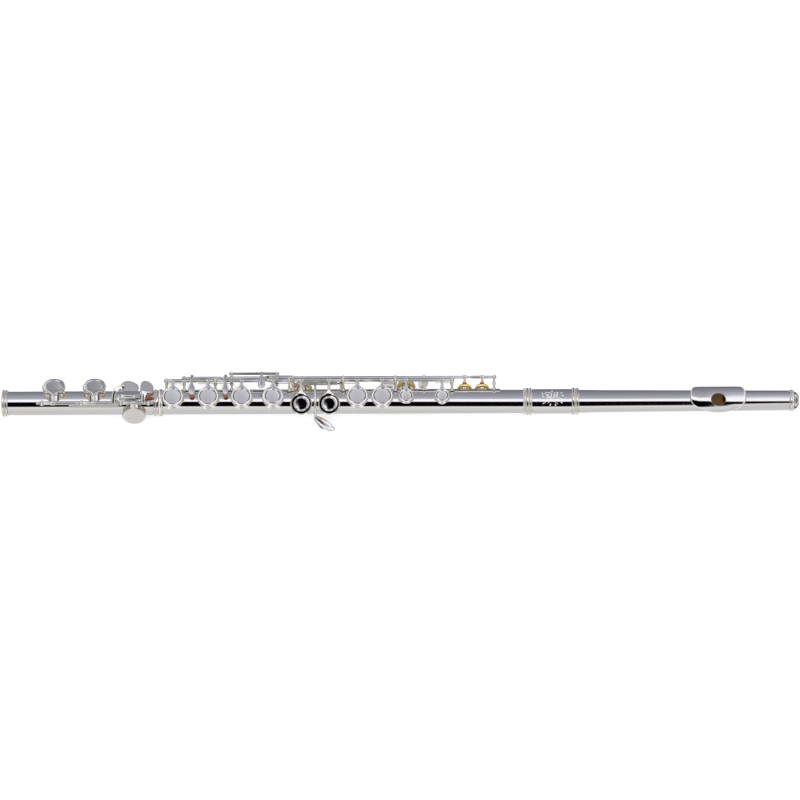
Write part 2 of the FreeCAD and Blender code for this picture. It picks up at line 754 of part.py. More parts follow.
def build_body_posts():
    posts = [post(x, MAIN_BASE, MAIN_HEAD) for x in (POST_1, POST_2, POST_3, POST_6)]
    for x in (POST_4, POST_5):
        posts.append(fuse("PostPair", [post(x, PAIR_BASE, MAIN_HEAD),
                                       post(x, TRILL_PAIR_BASE, TRILL_TUBE_HEAD)]))
    posts += [post(x, TRILL_BASE, TRILL_END_HEAD) for x in TRILL_POSTS]
    posts += [post(x, TRILL_BASE, TRILL_TUBE_HEAD, SIDE_HEAD) for x in SIDE_POSTS]
    posts.append(post(TRILL_MID_POST, TRILL_BASE, TRILL_TUBE_HEAD))
    posts += [post(x, GS_BASE, GS_HEAD) for x in GS_POSTS]
    posts += [post(x, dim("thumb_ang"), THUMB_HEAD) for x in THUMB_POSTS]
    return part("body_posts", group("body_posts", posts))


# ---------------------------------------------------------------- steels, screws, springs

STEEL_REACH = 0.7   # steel end past the middle of its end post


def build_steels():
    def steel(name, radius, first, last, axis):
        return rod_body(name, radius, first - STEEL_REACH, last + STEEL_REACH, axis)

    # the two main steels stop 0.1 either side of the middle of post 3
    part("right_hand_steel",
         rod_body("right_hand_steel", STEEL, POST_1 - STEEL_REACH, POST_3 - 0.1, MAIN))
    part("left_hand_steel",
         rod_body("left_hand_steel", STEEL, POST_3 + 0.1, POST_6 + STEEL_REACH, MAIN))
    part("trill_steel", steel("trill_steel", SMALL_STEEL, *TRILL_POSTS, TRILL))
    part("foot_steel", steel("foot_steel", STEEL, FOOT_POSTS[0], FOOT_POSTS[-1], FOOT))
    gather("back_steels", [
        steel("g_sharp_steel", SMALL_STEEL, *GS_POSTS, GS),
        steel("thumb_steel", SMALL_STEEL, *THUMB_POSTS, THUMB),
        steel("side_lever_steel", SMALL_STEEL, *SIDE_POSTS, SIDE)])


def pivot_screw(x, axis, out, steel_r):
    """Slotted screw closing the outer end of a post bore; out is its direction along X."""
    def ends(start, end):
        """Two distances out from the post, in rising X."""
        return [Quantity(x) + start * out, Quantity(x) + end * out][::out]

    head = rod("ScrewHead", 1.25, *ends(POST_HALF, POST_HALF + 0.7), axis)
    neck = rod("ScrewNeck", steel_r - TIGHT, *ends(Quantity(STEEL_REACH + TIGHT), POST_HALF), axis)
    slot = new("Part::Box", "Slot")
    slot.Length, slot.Width, slot.Height = 0.8, 3.0, 0.36
    place(slot, ends(POST_HALF + 0.4, POST_HALF + 1.2)[0], axis[0] - 1.5, axis[1] - 0.18)
    return cut("Screw", fuse("ScrewBody", [head, neck]), slot)


def screw_pair(first, last, axis, steel_r):
    return [pivot_screw(first, axis, -1, steel_r), pivot_screw(last, axis, 1, steel_r)]


def build_body_screws():
    screws = screw_pair(POST_1, POST_6, MAIN, STEEL)
    for posts, axis in ((TRILL_POSTS, TRILL), (SIDE_POSTS, SIDE), (GS_POSTS, GS),
                        (THUMB_POSTS, THUMB)):
        screws += screw_pair(*posts, axis, SMALL_STEEL)
    part("body_pivot_screws", group("body_pivot_screws", screws))


# needle springs: post x, direction of the post base, signed length along X
BODY_SPRINGS = [
    (POST_1, MAIN_BASE, 13.0), (POST_2, MAIN_BASE, -15.0), (POST_2, MAIN_BASE, 15.0),
    (POST_3, MAIN_BASE, -15.0), (POST_4, PAIR_BASE, -14.0), (POST_4, PAIR_BASE, 14.0),
    (POST_5, PAIR_BASE, -12.0), (POST_6, MAIN_BASE, -14.0)]
FOOT_SPRINGS = [
    (FOOT_POSTS[0], dim("foot_ang"), 14.0), (FOOT_POSTS[2], dim("foot_ang"), -12.0),
    (FOOT_POSTS[3], dim("foot_ang"), -12.0)]
SPRING_R = 0.25
SPRING_DROP = 2.75  # spring below the rod axis, along the post stem


def build_springs(label, axis, springs, posts):
    """Springs start in the middle of the post stems, where the posts are cut out of them."""
    wires = []
    for x, base_dir, reach in springs:
        base = plain(yz_at(RIB_OUT, quantity(base_dir)))
        at = toward(plain(axis), base, SPRING_DROP)
        wires.append(rod("Wire", SPRING_R, min(x, x + reach), max(x, x + reach), at))
    part(label, cut("Springs", group("WiresOf", wires), posts))


def build_foot_posts():
    """Foot posts with their screws, and the springs held by the posts."""
    posts = [post(x, dim("foot_ang"), FOOT_HEAD) for x in FOOT_POSTS]
    posts_only = named("foot_posts_only", group("foot_posts", posts))
    build_springs("foot_springs", FOOT, FOOT_SPRINGS, posts_only)
    screws = screw_pair(FOOT_POSTS[0], FOOT_POSTS[-1], FOOT, STEEL)
    part("foot_posts", group("foot_posts_and_screws", posts + screws))


# ---------------------------------------------------------------- key parts
# Cups, arms and touches are built facing +Z. Side outlines are (y, z), top outlines
# (x, y); half outlines are (half width along x, y) about a middle x.

PAD_FACE = dim("rim_h") + dim("pad_gap")
CUP_BOTTOM = PAD_FACE + dim("pad_proud")
CUP_TOP = PAD_FACE + dim("cup_h")
CUP_WALL = 0.45
CUP_ROOF = 0.8      # hollow's top below the cup top
HOLLOW_DROP = 3     # hollow's start below the cup
TRILL_CUP_BOTTOM = PAD_FACE + 1.3
TRILL_CUP_TOP = PAD_FACE + 2.9
POST_CLEAR = 1.6    # middle of a post to the end of a hinge tube


def mirrored(x, half_outline):
    """Outline symmetric about x; a half width of 0 gives a single corner."""
    x = quantity(x)
    right = [(x + half, y) for half, y in half_outline]
    left = [(x - half, y) for half, y in half_outline if half]
    return left[:1] + right + left[:0:-1]


def arm(name, side, top):
    """Solid with a side outline and a top outline."""
    xs = [plain(point)[0] for point in top]
    zs = [plain(point)[1] for point in side]
    return common(name, [slab(name + "Side", side, min(xs) - 1, max(xs) + 1),
                         slab(name + "Top", top, min(zs) - 1, max(zs) + 1, "xy")])


def cup_arm(name, x, side, root_half, root_y, neck_y, tip_half, tip_y, end_y):
    """Narrow arm from a hinge tube, widening where it meets its cup."""
    return arm(name, side, mirrored(x, [
        (root_half, root_y), (1.25, neck_y), (tip_half, tip_y), (tip_half - 0.8, end_y)]))


def cup_blank(x, radius, border):
    """Cup with a raised border round a shallow dish."""
    dish, top = radius - border, CUP_TOP
    return turned("Cup", [
        (0, CUP_BOTTOM), (radius, CUP_BOTTOM), (radius, top - 0.95), (radius - 0.3, top - 0.3),
        (radius - 0.95, top), (dish + 0.35, top), (dish, top - 0.45), (0, top - 0.45)], x)


def cup(x, radius, border):
    """Cup blank and the tool that hollows it."""
    hollow = peg("Hollow", radius - CUP_WALL, CUP_TOP - CUP_BOTTOM - CUP_ROOF + HOLLOW_DROP,
                 x, CUP_BOTTOM - HOLLOW_DROP)
    return cup_blank(x, radius, border), hollow


def pad_disc(name, x, radius, direction, bevel=(0.6, 0.5), top=CUP_TOP - (CUP_ROOF + TIGHT)):
    """Pad under a cup of the given radius; bevel is (width, height) at the pad face."""
    rim = radius - 0.5
    disc = turned_body(name, [
        (0, PAD_FACE), (rim - bevel[0], PAD_FACE), (rim, PAD_FACE + bevel[1]), (rim, top),
        (0, top)], "V_Axis")
    disc.Label = name + "_disc"
    return face(disc, direction, x)


def rested(label, solids, rest):
    """Group of solids turned with their key to its resting position."""
    return swing(part(label, group(label, solids)), *rest)


def pad(label, x, radius, direction, rest, **shape):
    rested(label, [pad_disc(label + "_a", x, radius, direction, **shape)], rest)


def hinge(x0, x1, axis, radius, bore_r):
    """Hinge tube or collar and the tool that bores it."""
    return (rod("Tube", radius, x0, x1, axis),
            rod("TubeBore", bore_r, x0 - 1, x1 + 1, axis))


def key(label, solids, tools, rest):
    """Fused solids less the tools, turned to the resting position."""
    whole = cut("Key_" + label, fuse("KeyWhole", solids), fuse("KeyTools", tools))
    swing(part(label, whole), *rest)


def cup_key(label, cup_pair, arms, direction, hinge_pair, rest, solids=(), tools=()):
    """Key whose cup and arms face a direction round the bore."""
    blank, hollow = cup_pair
    tube, bore = hinge_pair
    key(label, [aimed([blank, *arms], direction), tube, *solids],
        [aimed([hollow], direction), bore, *tools], rest)


def tab(y0, y1, z0, z1, x0, x1):
    return slab("Tab", [(y0, z0), (y1, z0), (y1, z1), (y0, z1)], x0, x1)


# ---------------------------------------------------------------- main stack

CUP_R = dim("cup_r")
BORDER = 3.0        # border width of the large cups
G_BORDER = 3.8
SMALL_BORDER = 1.9
MAIN_ARM_SIDE = [
    (16.0, 11.9), (17.2, 12.4), (16.3, 13.7), (14.4, 14.5), (9.6, 15.4), (5.0, 15.45),
    (5.0, 14.6), (9.2, 13.7), (13.2, 13.0), (14.9, 12.2)]
G_ARM_SIDE = [
    (18.4, 4.2), (20.2, 4.6), (19.6, 7.6), (17.0, 11.4), (13.8, 13.9), (9.6, 15.4),
    (5.0, 15.45), (5.0, 14.6), (9.2, 13.7), (12.8, 12.4), (15.4, 10.2), (17.7, 7.0)]


def main_arm(x, radius):
    """Pointed arm from the main rod to the near side of a cup facing +Z."""
    return cup_arm("Arm", x, MAIN_ARM_SIDE, root_half=1.15, root_y=17.6, neck_y=14.0,
                   tip_half=radius * 0.5, tip_y=radius * 0.88, end_y=radius * 0.78)


def main_key(note, pos, x0, x1, solids=(), tools=()):
    x = dim(pos)
    blank, hollow = cup(x, CUP_R, BORDER)
    tube, bore = hinge(x0, x1, MAIN, HINGE, MAIN_BORE)
    key(note + "_key", [blank, main_arm(x, CUP_R), tube, *solids], [hollow, bore, *tools],
        MAIN_REST)
    pad(note + "_pad", x, CUP_R, UP, MAIN_REST)


def build_right_hand_keys():
    """D, E and F each push a tab of the F sharp key, which is pinned to the steel."""
    main_key("d", "pos_d", POST_1 + POST_CLEAR, 154.9, [
        tab(17.0, 18.2, 10.9, 11.7, 152.6, 154.8),
        tab(17.8, 19.0, 10.9, 11.7, 152.6, 156.8)])
    main_key("e", "pos_e", 159.0, POST_2 - POST_CLEAR, [
        tab(17.0, 18.2, 10.9, 11.7, 159.1, 161.5),
        tab(17.8, 19.0, 10.9, 11.7, 157.1, 161.5)])
    main_key("f", "pos_f", POST_2 + POST_CLEAR, 222.4, [
        tab(17.0, 19.0, 10.9, 12.4, 220.8, 223.6)])
    collar, collar_bore = hinge(155.1, 158.8, MAIN, HINGE, PINNED_BORE)
    main_key("f_sharp", "pos_fs", 224.4, POST_3 - POST_CLEAR, [
        tab(16.9, 19.0, 12.45, 13.0, 222.6, 226.0),
        tab(16.9, 17.4, 11.0, 13.0, 224.5, 226.0),
        collar,
        tab(16.6, 19.0, 12.45, 13.2, 155.2, 158.7)], [collar_bore])


def build_left_hand_keys():
    main_key("a", "pos_a", POST_4 + POST_CLEAR, 310.8)
    # pinned collar with a bar reaching back towards the foot
    collar, collar_bore = hinge(POST_3 + POST_CLEAR, 247.8, MAIN, HINGE, PINNED_BORE)
    main_key("a_sharp", "pos_bf", 311.0, POST_5 - POST_CLEAR, [
        collar,
        tab(16.6, 19.4, 12.3, 13.6, 244.8, 247.6),
        tab(18.2, 19.4, 13.3, 14.7, 223.4, 247.6)], [collar_bore])


def build_index_key():
    """Solid finger plate and the upper C sharp cup on one hinge tube."""
    plate_x, cup_x, radius = dim("pos_index"), dim("pos_cs"), dim("cup_small_r")
    plate = cup_blank(plate_x, radius, SMALL_BORDER)
    blank, hollow = cup(cup_x, radius, SMALL_BORDER)
    tube, bore = hinge(POST_5 + POST_CLEAR, POST_6 - POST_CLEAR, MAIN, HINGE, MAIN_BORE)
    key("index_key", [plate, blank, main_arm(plate_x, radius), main_arm(cup_x, radius), tube],
        [hollow, bore], MAIN_REST)
    pad("index_pad", cup_x, radius, UP, MAIN_REST)


def build_g_keys():
    """Offset G keys: one body, two cups."""
    direction = dim("g_dir")
    solids, tools, discs = [], [], []
    for letter, pos in (("a", "pos_glow"), ("b", "pos_gup")):
        x = dim(pos)
        blank, hollow = cup(x, CUP_R, G_BORDER)
        g_arm = cup_arm("ArmG", x, G_ARM_SIDE, root_half=1.2, root_y=21.5, neck_y=13.4,
                        tip_half=4.6, tip_y=8.1, end_y=7.2)
        solids.append(aimed([blank, g_arm], direction))
        tools.append(aimed([hollow], direction))
        discs.append(pad_disc("g_pad_" + letter, x, CUP_R, direction))
    tube, bore = hinge(248.2, 286.9, MAIN, HINGE, MAIN_BORE)
    key("g_keys", solids + [tube], tools + [bore], G_REST)
    rested("g_pads", discs, G_REST)


# ---------------------------------------------------------------- G sharp key

GS_ARM_SIDE = [
    (-12.2, 10.6), (-13.3, 11.2), (-12.4, 13.4), (-9.6, 15.3), (-5.0, 15.45), (-5.0, 14.6),
    (-9.0, 13.5), (-10.7, 12.2)]
LEVER_X = (263.75, 266.05)
LEVER_ROOT = [(9.6, 8.7), (13.2, 6.6), (14.6, 6.4), (15.3, 7.9), (14.4, 8.7), (10.8, 10.6)]
LEVER_HOOK = [(-11.4, 6.0), (-12.7, 6.6), (-13.5, 2.6), (-11.7, 2.2), (-12.0, 4.2)]
LEAF_SIDE = [
    (-11.6, 1.2), (-12.4, 3.4), (-14.2, 4.1), (-18.0, 3.7), (-25.2, 1.6), (-25.2, 0.7),
    (-18.0, 2.6), (-14.2, 2.8), (-13.0, 1.2)]
LEAF_TOP = [
    (263.75, -11.0), (266.05, -11.0), (267.6, -13.0), (272.8, -15.6), (278.5, -20.0),
    (282.2, -24.2), (281.8, -25.2), (276.5, -24.6), (270.0, -21.6), (265.8, -17.6),
    (263.9, -13.6)]


def build_g_sharp_key():
    """G sharp key with its lever over the tube to the little-finger leaf."""
    x, direction = dim("pos_gs"), dim("gs_dir")
    gs_arm = cup_arm("ArmGS", x, GS_ARM_SIDE, root_half=1.15, root_y=-14.5, neck_y=-11.8,
                     tip_half=4.6, tip_y=-8.1, end_y=-7.2)
    tube_ends = GS_POSTS[0] + POST_CLEAR, GS_POSTS[1] - POST_CLEAR
    cup_key("g_sharp_key", cup(x, CUP_R, BORDER), [gs_arm], direction,
            hinge(*tube_ends, GS, SMALL_HINGE, SMALL_BORE), GS_REST, [
                sector("LeverArc", 12.9, 14.2, -66, 52, *LEVER_X),
                slab("LeverRoot", LEVER_ROOT, *LEVER_X),
                arm("Leaf", LEAF_SIDE, LEAF_TOP),
                slab("LeverHook", LEVER_HOOK, *LEVER_X)])
    pad("g_sharp_pad", x, CUP_R, direction, GS_REST)


# ---------------------------------------------------------------- thumb keys

THUMB_ARM_SIDE = [
    (12.0, 12.6), (13.1, 12.9), (12.0, 14.4), (8.4, 15.4), (4.5, 15.45), (4.5, 14.6),
    (8.0, 13.6), (10.6, 12.6)]
THUMB_NECK_SIDE = [
    (11.6, 12.9), (12.9, 13.0), (12.4, 15.6), (6.4, 19.2), (5.2, 19.2), (5.2, 18.3),
    (6.2, 17.8), (11.2, 14.6)]
THUMB_PLATE = [
    (320.4, -3.0), (321.6, -5.6), (329.2, -5.6), (331.2, -3.0), (331.2, 4.4), (329.8, 6.6),
    (321.8, 6.6), (320.4, 4.0)]
FLAT_PLATE = [
    (351.8, -2.0), (353.0, -5.4), (358.4, -6.6), (360.6, -4.0), (360.2, 2.0), (357.0, 6.4),
    (354.0, 6.4), (351.8, 2.6)]
THUMB_PLATE_Z = (18.3, 19.3)


def build_thumb_keys():
    x, radius, direction = dim("pos_thumb"), dim("cup_thumb_r"), dim("thumb_dir")
    thumb_arm = cup_arm("ArmT", x, THUMB_ARM_SIDE, root_half=1.2, root_y=14.5, neck_y=11.4,
                        tip_half=4.0, tip_y=7.0, end_y=6.2)
    plate = slab("ThumbPlate", THUMB_PLATE, *THUMB_PLATE_Z, "xy")
    neck = arm("ThumbNeck", THUMB_NECK_SIDE, mirrored(325.8, [(1.6, 13.6), (2.6, 5.4)]))
    cup_key("thumb_b_key", cup(x, radius, 2.6), [thumb_arm, plate, neck], direction,
            hinge(THUMB_POSTS[0] + POST_CLEAR, 349.8, THUMB, SMALL_HINGE, SMALL_BORE),
            THUMB_REST)
    pad("thumb_pad", x, radius, direction, THUMB_REST)

    flat_plate = slab("FlatPlate", FLAT_PLATE, *THUMB_PLATE_Z, "xy")
    flat_neck = arm("FlatNeck", THUMB_NECK_SIDE, mirrored(355.5, [(1.3, 13.6), (1.5, 5.2)]))
    tube, bore = hinge(350.1, THUMB_POSTS[1] - POST_CLEAR, THUMB, SMALL_HINGE, SMALL_BORE)
    key("thumb_bflat_lever", [aimed([flat_plate, flat_neck], direction), tube], [bore],
        THUMB_REST)


# ---------------------------------------------------------------- trill keys

TRILL_ARM_SIDE = [
    (-9.4, 17.4), (-11.5, 17.7), (-11.4, 15.6), (-8.6, 14.9), (-4.0, 14.6), (1.4, 14.6),
    (1.4, 15.4), (-4.0, 15.7), (-8.4, 16.4)]
TRILL_ARM_HALF = [(1.1, -12.0), (1.2, -7.6), (2.6, -3.0), (1.4, 1.3)]
TRILL_TOUCH_SIDE = [
    (20.7, 7.3), (21.9, 9.4), (21.2, 12.6), (18.6, 15.2), (15.6, 16.4), (9.0, 16.6),
    (3.4, 16.1), (2.4, 15.5), (2.4, 15.0), (9.0, 15.5), (15.4, 15.2), (17.8, 14.1),
    (19.8, 12.0), (20.2, 10.0), (18.8, 7.9)]
D_TOUCH_X, DS_TOUCH_X = 189.2, 160.8


def trill_cup(x):
    radius, bottom = dim("cup_trill_r"), TRILL_CUP_BOTTOM
    blank = turned("CupTr", [
        (0, bottom), (radius, bottom), (radius, bottom + 0.7), (radius - 0.8, bottom + 1.15),
        (radius - 3.4, TRILL_CUP_TOP), (0, TRILL_CUP_TOP)], x)
    hollow = peg("HollowTr", radius - CUP_WALL, CUP_ROOF + HOLLOW_DROP, x, bottom - HOLLOW_DROP)
    return blank, hollow


def trill_touch(x, half_width):
    """Teardrop touch over the tube with an arm that clears the main rod."""
    return arm("Touch", TRILL_TOUCH_SIDE, mirrored(x, [
        (1.2, 23), (1.2, 13.8), (half_width, 9.4), (half_width, 7.0), (1.6, 3.3), (0, 2.4)]))


def trill_key(note, pos, hinge_pair, solids, tools=()):
    """Trill key, closed at rest, with its pad."""
    x, direction = dim(pos), dim("trill_dir")
    trill_arm = arm("ArmTr", TRILL_ARM_SIDE, mirrored(x, TRILL_ARM_HALF))
    cup_key(note + "_trill_key", trill_cup(x), [trill_arm], direction, hinge_pair, TRILL_REST,
            solids, tools)
    pad(note + "_trill_pad", x, dim("cup_trill_r"), direction, TRILL_REST,
        bevel=(0.8, 0.7), top=PAD_FACE + 2.08)


def build_trill_keys():
    trill_key("d", "pos_dtr", hinge(186.2, 394.0, TRILL, SMALL_HINGE, SMALL_BORE),
              [trill_touch(D_TOUCH_X, 2.7)])
    upper_tube, upper_bore = hinge(396.0, 414.0, TRILL, SMALL_HINGE, PINNED_SMALL_BORE)
    trill_key("d_sharp", "pos_dstr", hinge(156.0, 185.6, TRILL, SMALL_HINGE, PINNED_SMALL_BORE),
              [upper_tube, trill_touch(DS_TOUCH_X, 3.0)], [upper_bore])
    for note, x in (("d", D_TOUCH_X), ("d_sharp", DS_TOUCH_X)):
        label = note + "_trill_bumper"
        part(label, group(label, [peg("Cork", 1.9, 1.95, x, 13.0, 2.3)]))


# ---------------------------------------------------------------- side B flat lever

SIDE_TOUCH_SIDE = [
    (22.2, 10.0), (23.4, 10.2), (23.2, 12.6), (20.6, 15.4), (15.0, 16.8), (7.8, 16.6),
    (7.8, 15.7), (15.0, 15.8), (19.8, 14.6), (21.9, 12.2)]
SIDE_TOUCH_HALF = [(1.3, 25), (1.3, 17.4), (2.7, 14.8), (3.3, 12.2), (2.1, 9.2), (0, 7.8)]
SIDE_FINGER = [(22.2, 9.6), (23.3, 9.6), (22.9, 13.0), (21.2, 15.4), (20.6, 14.6), (21.6, 12.8)]


def build_side_lever():
    tube, bore = hinge(SIDE_POSTS[0] + 1.5, SIDE_POSTS[1] - 1.5, SIDE, SMALL_HINGE - 0.2,
                       SMALL_BORE)
    touch = arm("SideTouch", SIDE_TOUCH_SIDE, mirrored(219.7, SIDE_TOUCH_HALF))
    finger = slab("SideFinger", SIDE_FINGER, 229.6, 230.8)
    key("side_bflat_lever", [tube, touch, finger], [bore], SIDE_REST)


# ---------------------------------------------------------------- foot keys

FOOT_CUP_R = dim("cup_foot_r")
FOOT_BORDER = 3.4
FOOT_POST_CLEAR = 1.5   # middle of a post to the C and C sharp hinge tubes
FOOT_ARM_SIDE = [
    (-16.4, 10.4), (-17.7, 10.9), (-17.0, 12.7), (-14.6, 14.3), (-9.9, 15.4), (-5.0, 15.45),
    (-5.0, 14.6), (-9.9, 13.7), (-13.2, 12.6), (-15.4, 10.9)]
DS_ARM_SIDE = [
    (14.6, 13.2), (15.9, 13.5), (14.6, 14.8), (10.2, 15.4), (5.0, 15.45), (5.0, 14.6),
    (10.0, 13.8), (12.6, 13.4), (13.7, 12.9)]
# little finger touches leave the rod level, then slope towards the player
TOUCH_SIDE = [
    (0.2, 19.1), (0.2, 20.1), (5.6, 20.9), (8.6, 21.3), (12.0, 20.3), (19.2, 17.2),
    (18.8, 16.3), (11.6, 19.4), (8.4, 20.3), (5.8, 19.9)]
CS_TOUCH_TOP = [
    (92.8, 0.6), (96.6, 0.6), (97.4, 6.6), (99.6, 9.6), (103.4, 10.4), (115.4, 9.9),
    (116.6, 11.6), (116.2, 14.4), (113.4, 16.6), (108.6, 18.1), (104.0, 17.8), (101.2, 15.0),
    (97.4, 12.9), (94.2, 10.6), (93.2, 7.0)]
DS_TOUCH_TOP = [
    (118.6, 0.6), (122.4, 0.6), (123.2, 6.4), (127.6, 8.2), (129.1, 11.0), (128.4, 14.8),
    (125.4, 17.6), (121.6, 18.5), (118.9, 17.2), (117.8, 14.0), (118.0, 9.5), (118.5, 6.4)]
DS_CORK_TOP = [
    (119.6, 3.8), (123.2, 3.4), (128.6, 6.2), (129.2, 7.8), (127.6, 9.0), (123.0, 8.2),
    (119.6, 7.2)]
ROLLER_LEVER_TOP = [
    (97.4, 0.4), (99.7, 0.4), (100.6, 4.0), (101.4, 4.2), (101.4, 7.2), (99.6, 7.2), (98.6, 5.0)]
ROLLER_BED_TOP = [(100.4, 4.7), (115.4, 4.7), (115.4, 6.7), (100.4, 6.7)]
ROLLER_EAR_SIDE = [(4.6, 17.0), (6.8, 17.0), (6.8, 20.4), (5.7, 21.0), (4.6, 20.4)]
ROLLER_AXIS = (5.7, 19.9)
ROLLER_PIN_R = 0.5


def foot_arm(x):
    return cup_arm("ArmFoot", x, FOOT_ARM_SIDE, root_half=1.2, root_y=-18.4, neck_y=-14.4,
                   tip_half=4.8, tip_y=-8.7, end_y=-7.8)


def build_low_c_key():
    """Low C key; its little finger roller sits in a cradle on a second collar."""
    x, cup_dir, rod_dir = dim("pos_low_c"), dim("foot_dir"), dim("foot_ang")
    cradle = [
        slab("RollerLever", ROLLER_LEVER_TOP, 19.0, 20.0, "xy"),
        slab("RollerBed", ROLLER_BED_TOP, 17.0, 17.7, "xy"),
        rod("RollerPin", ROLLER_PIN_R, 100.6, 115.2, ROLLER_AXIS),
        rod("LeverCollar", HINGE, 97.2, 99.9, (0, dim("foot_dist")))]
    cradle += [slab("RollerEar", ROLLER_EAR_SIDE, ear_x, ear_x + 1.0)
               for ear_x in (100.4, 114.4)]
    tube_ends = FOOT_POSTS[0] + FOOT_POST_CLEAR, FOOT_POSTS[1] - FOOT_POST_CLEAR
    cup_key("low_c_key", cup(x, FOOT_CUP_R, FOOT_BORDER), [foot_arm(x)], cup_dir,
            hinge(*tube_ends, FOOT, HINGE, PINNED_BORE), FOOT_REST,
            [aimed(cradle, rod_dir)], [rod("TubeBore", PINNED_BORE, 97, 100, FOOT)])
    pad("low_c_pad", x, FOOT_CUP_R, cup_dir, FOOT_REST)
    roller = cut("RollerBody", rod("Roller", 1.9, 101.8, 114.0, ROLLER_AXIS),
                 rod("RollerBore", ROLLER_PIN_R + dim("fit_gap").value, 101, 115, ROLLER_AXIS))
    rested("c_roller", [aimed([roller], rod_dir)], FOOT_REST)


def build_low_c_sharp_key():
    x, cup_dir = dim("pos_low_cs"), dim("foot_dir")
    touch = arm("CSharpTouch", TOUCH_SIDE, CS_TOUCH_TOP)
    cup_key("low_c_sharp_key", cup(x, FOOT_CUP_R, FOOT_BORDER), [foot_arm(x)], cup_dir,
            hinge(FOOT_POSTS[1] + FOOT_POST_CLEAR, 96.9, FOOT, HINGE, MAIN_BORE), FOOT_REST,
            [aimed([touch], dim("foot_ang"))])
    pad("low_c_sharp_pad", x, FOOT_CUP_R, cup_dir, FOOT_REST)


def build_d_sharp_key():
    """D sharp key, closed at rest, and the cork under its touch."""
    x, cup_dir, rod_dir = dim("pos_ds"), dim("ds_dir"), dim("foot_ang")
    ds_arm = cup_arm("ArmDS", x, DS_ARM_SIDE, root_half=1.2, root_y=17.0, neck_y=13.4,
                     tip_half=4.8, tip_y=8.7, end_y=7.8)
    touch = arm("DSharpTouch", TOUCH_SIDE, DS_TOUCH_TOP)
    tube_ends = FOOT_POSTS[2] + POST_CLEAR, FOOT_POSTS[3] - POST_CLEAR
    cup_key("d_sharp_key", cup(x, FOOT_CUP_R, FOOT_BORDER), [ds_arm], cup_dir,
            hinge(*tube_ends, FOOT, HINGE, MAIN_BORE), DS_REST, [aimed([touch], rod_dir)])
    pad("d_sharp_pad", x, FOOT_CUP_R, cup_dir, DS_REST)
    cork = slab("DSharpCork", DS_CORK_TOP, 14.7, 19.45, "xy")
    part("d_sharp_bumper", group("d_sharp_bumper", [aimed([cork], rod_dir)]))


# ---------------------------------------------------------------- build, check and write

build_tube("body_tube", "body", dim("body_start"), dim("body_end"))
build_tube("foot_tube", "foot", dim("foot_end"), dim("foot_tube_end"))
build_rings()
build_socket()
build_barrel()
build_head_tube()
build_riser()
build_lip_plate()
build_stopper()
build_crown()
build_ribs()
body_posts = build_body_posts()
build_steels()
build_body_screws()
build_springs("body_springs", MAIN, BODY_SPRINGS, body_posts)
build_foot_posts()
build_right_hand_keys()
build_left_hand_keys()
build_index_key()
build_g_keys()
build_g_sharp_key()
build_thumb_keys()
build_trill_keys()
build_side_lever()
build_low_c_key()
build_low_c_sharp_key()
build_d_sharp_key()

doc.recompute()
bad = [obj.Name for obj in doc.Objects if "Invalid" in obj.State or "Error" in obj.State]
if bad:
    raise RuntimeError("objects with errors: %s" % bad)
for label, obj in exported.items():
    if obj.Shape.isNull() or not obj.Shape.isValid():
        raise RuntimeError("sub-part %s has no valid shape" % label)
os.makedirs("parts", exist_ok=True)
for label, obj in exported.items():
    obj.Shape.exportStep(os.path.join("parts", label + ".step"))
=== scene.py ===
# Looks of a concert flute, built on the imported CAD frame.
# The tube lies along X round the line y = z = 0: the open foot end is at x = 0, the crown at the
# far +X end, and most keys face +Z. Directions round the tube ("phi") are in degrees from +Z
# towards +Y. Lengths are millimetres, turned into metres when a mesh is made; the floor, lights
# and camera are in metres.
import bpy
import bmesh
import json
import math
from mathutils import Matrix, Vector


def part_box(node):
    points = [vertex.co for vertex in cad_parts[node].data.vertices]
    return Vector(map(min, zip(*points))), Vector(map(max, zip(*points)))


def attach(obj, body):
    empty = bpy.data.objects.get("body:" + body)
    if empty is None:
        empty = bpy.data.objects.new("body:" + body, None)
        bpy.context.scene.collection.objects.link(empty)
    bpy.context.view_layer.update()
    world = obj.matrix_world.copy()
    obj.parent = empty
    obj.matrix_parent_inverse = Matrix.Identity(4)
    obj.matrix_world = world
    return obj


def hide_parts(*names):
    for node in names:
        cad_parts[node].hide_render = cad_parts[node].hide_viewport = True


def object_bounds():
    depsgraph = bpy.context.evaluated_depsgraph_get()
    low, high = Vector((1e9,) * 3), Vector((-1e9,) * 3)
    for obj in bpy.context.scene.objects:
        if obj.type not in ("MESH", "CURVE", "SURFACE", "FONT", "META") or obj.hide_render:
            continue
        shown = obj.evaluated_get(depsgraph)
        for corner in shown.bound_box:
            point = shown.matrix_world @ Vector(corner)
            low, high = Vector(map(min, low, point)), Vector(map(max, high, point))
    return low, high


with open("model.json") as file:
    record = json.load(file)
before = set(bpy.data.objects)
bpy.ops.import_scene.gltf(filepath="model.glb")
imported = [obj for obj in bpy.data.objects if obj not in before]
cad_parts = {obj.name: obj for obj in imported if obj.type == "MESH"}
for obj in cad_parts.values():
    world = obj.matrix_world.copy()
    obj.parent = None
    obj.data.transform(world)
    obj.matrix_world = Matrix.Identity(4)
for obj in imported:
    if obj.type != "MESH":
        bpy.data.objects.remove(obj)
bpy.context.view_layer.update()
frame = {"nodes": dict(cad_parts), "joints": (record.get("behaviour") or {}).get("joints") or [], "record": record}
JOINTS = {j["name"]: j for j in frame["joints"]}
ID = Matrix.Identity(4)
INF = math.inf


# ------------------------------------------------------------------ reading the CAD frame
def mm(v):
    return [c * 1000.0 for c in v]


def box(node):
    lo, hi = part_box(node)
    return mm(lo), mm(hi)


def span_x(node):
    lo, hi = box(node)
    return lo[0], hi[0]


def mid_x(node):
    return sum(span_x(node)) / 2


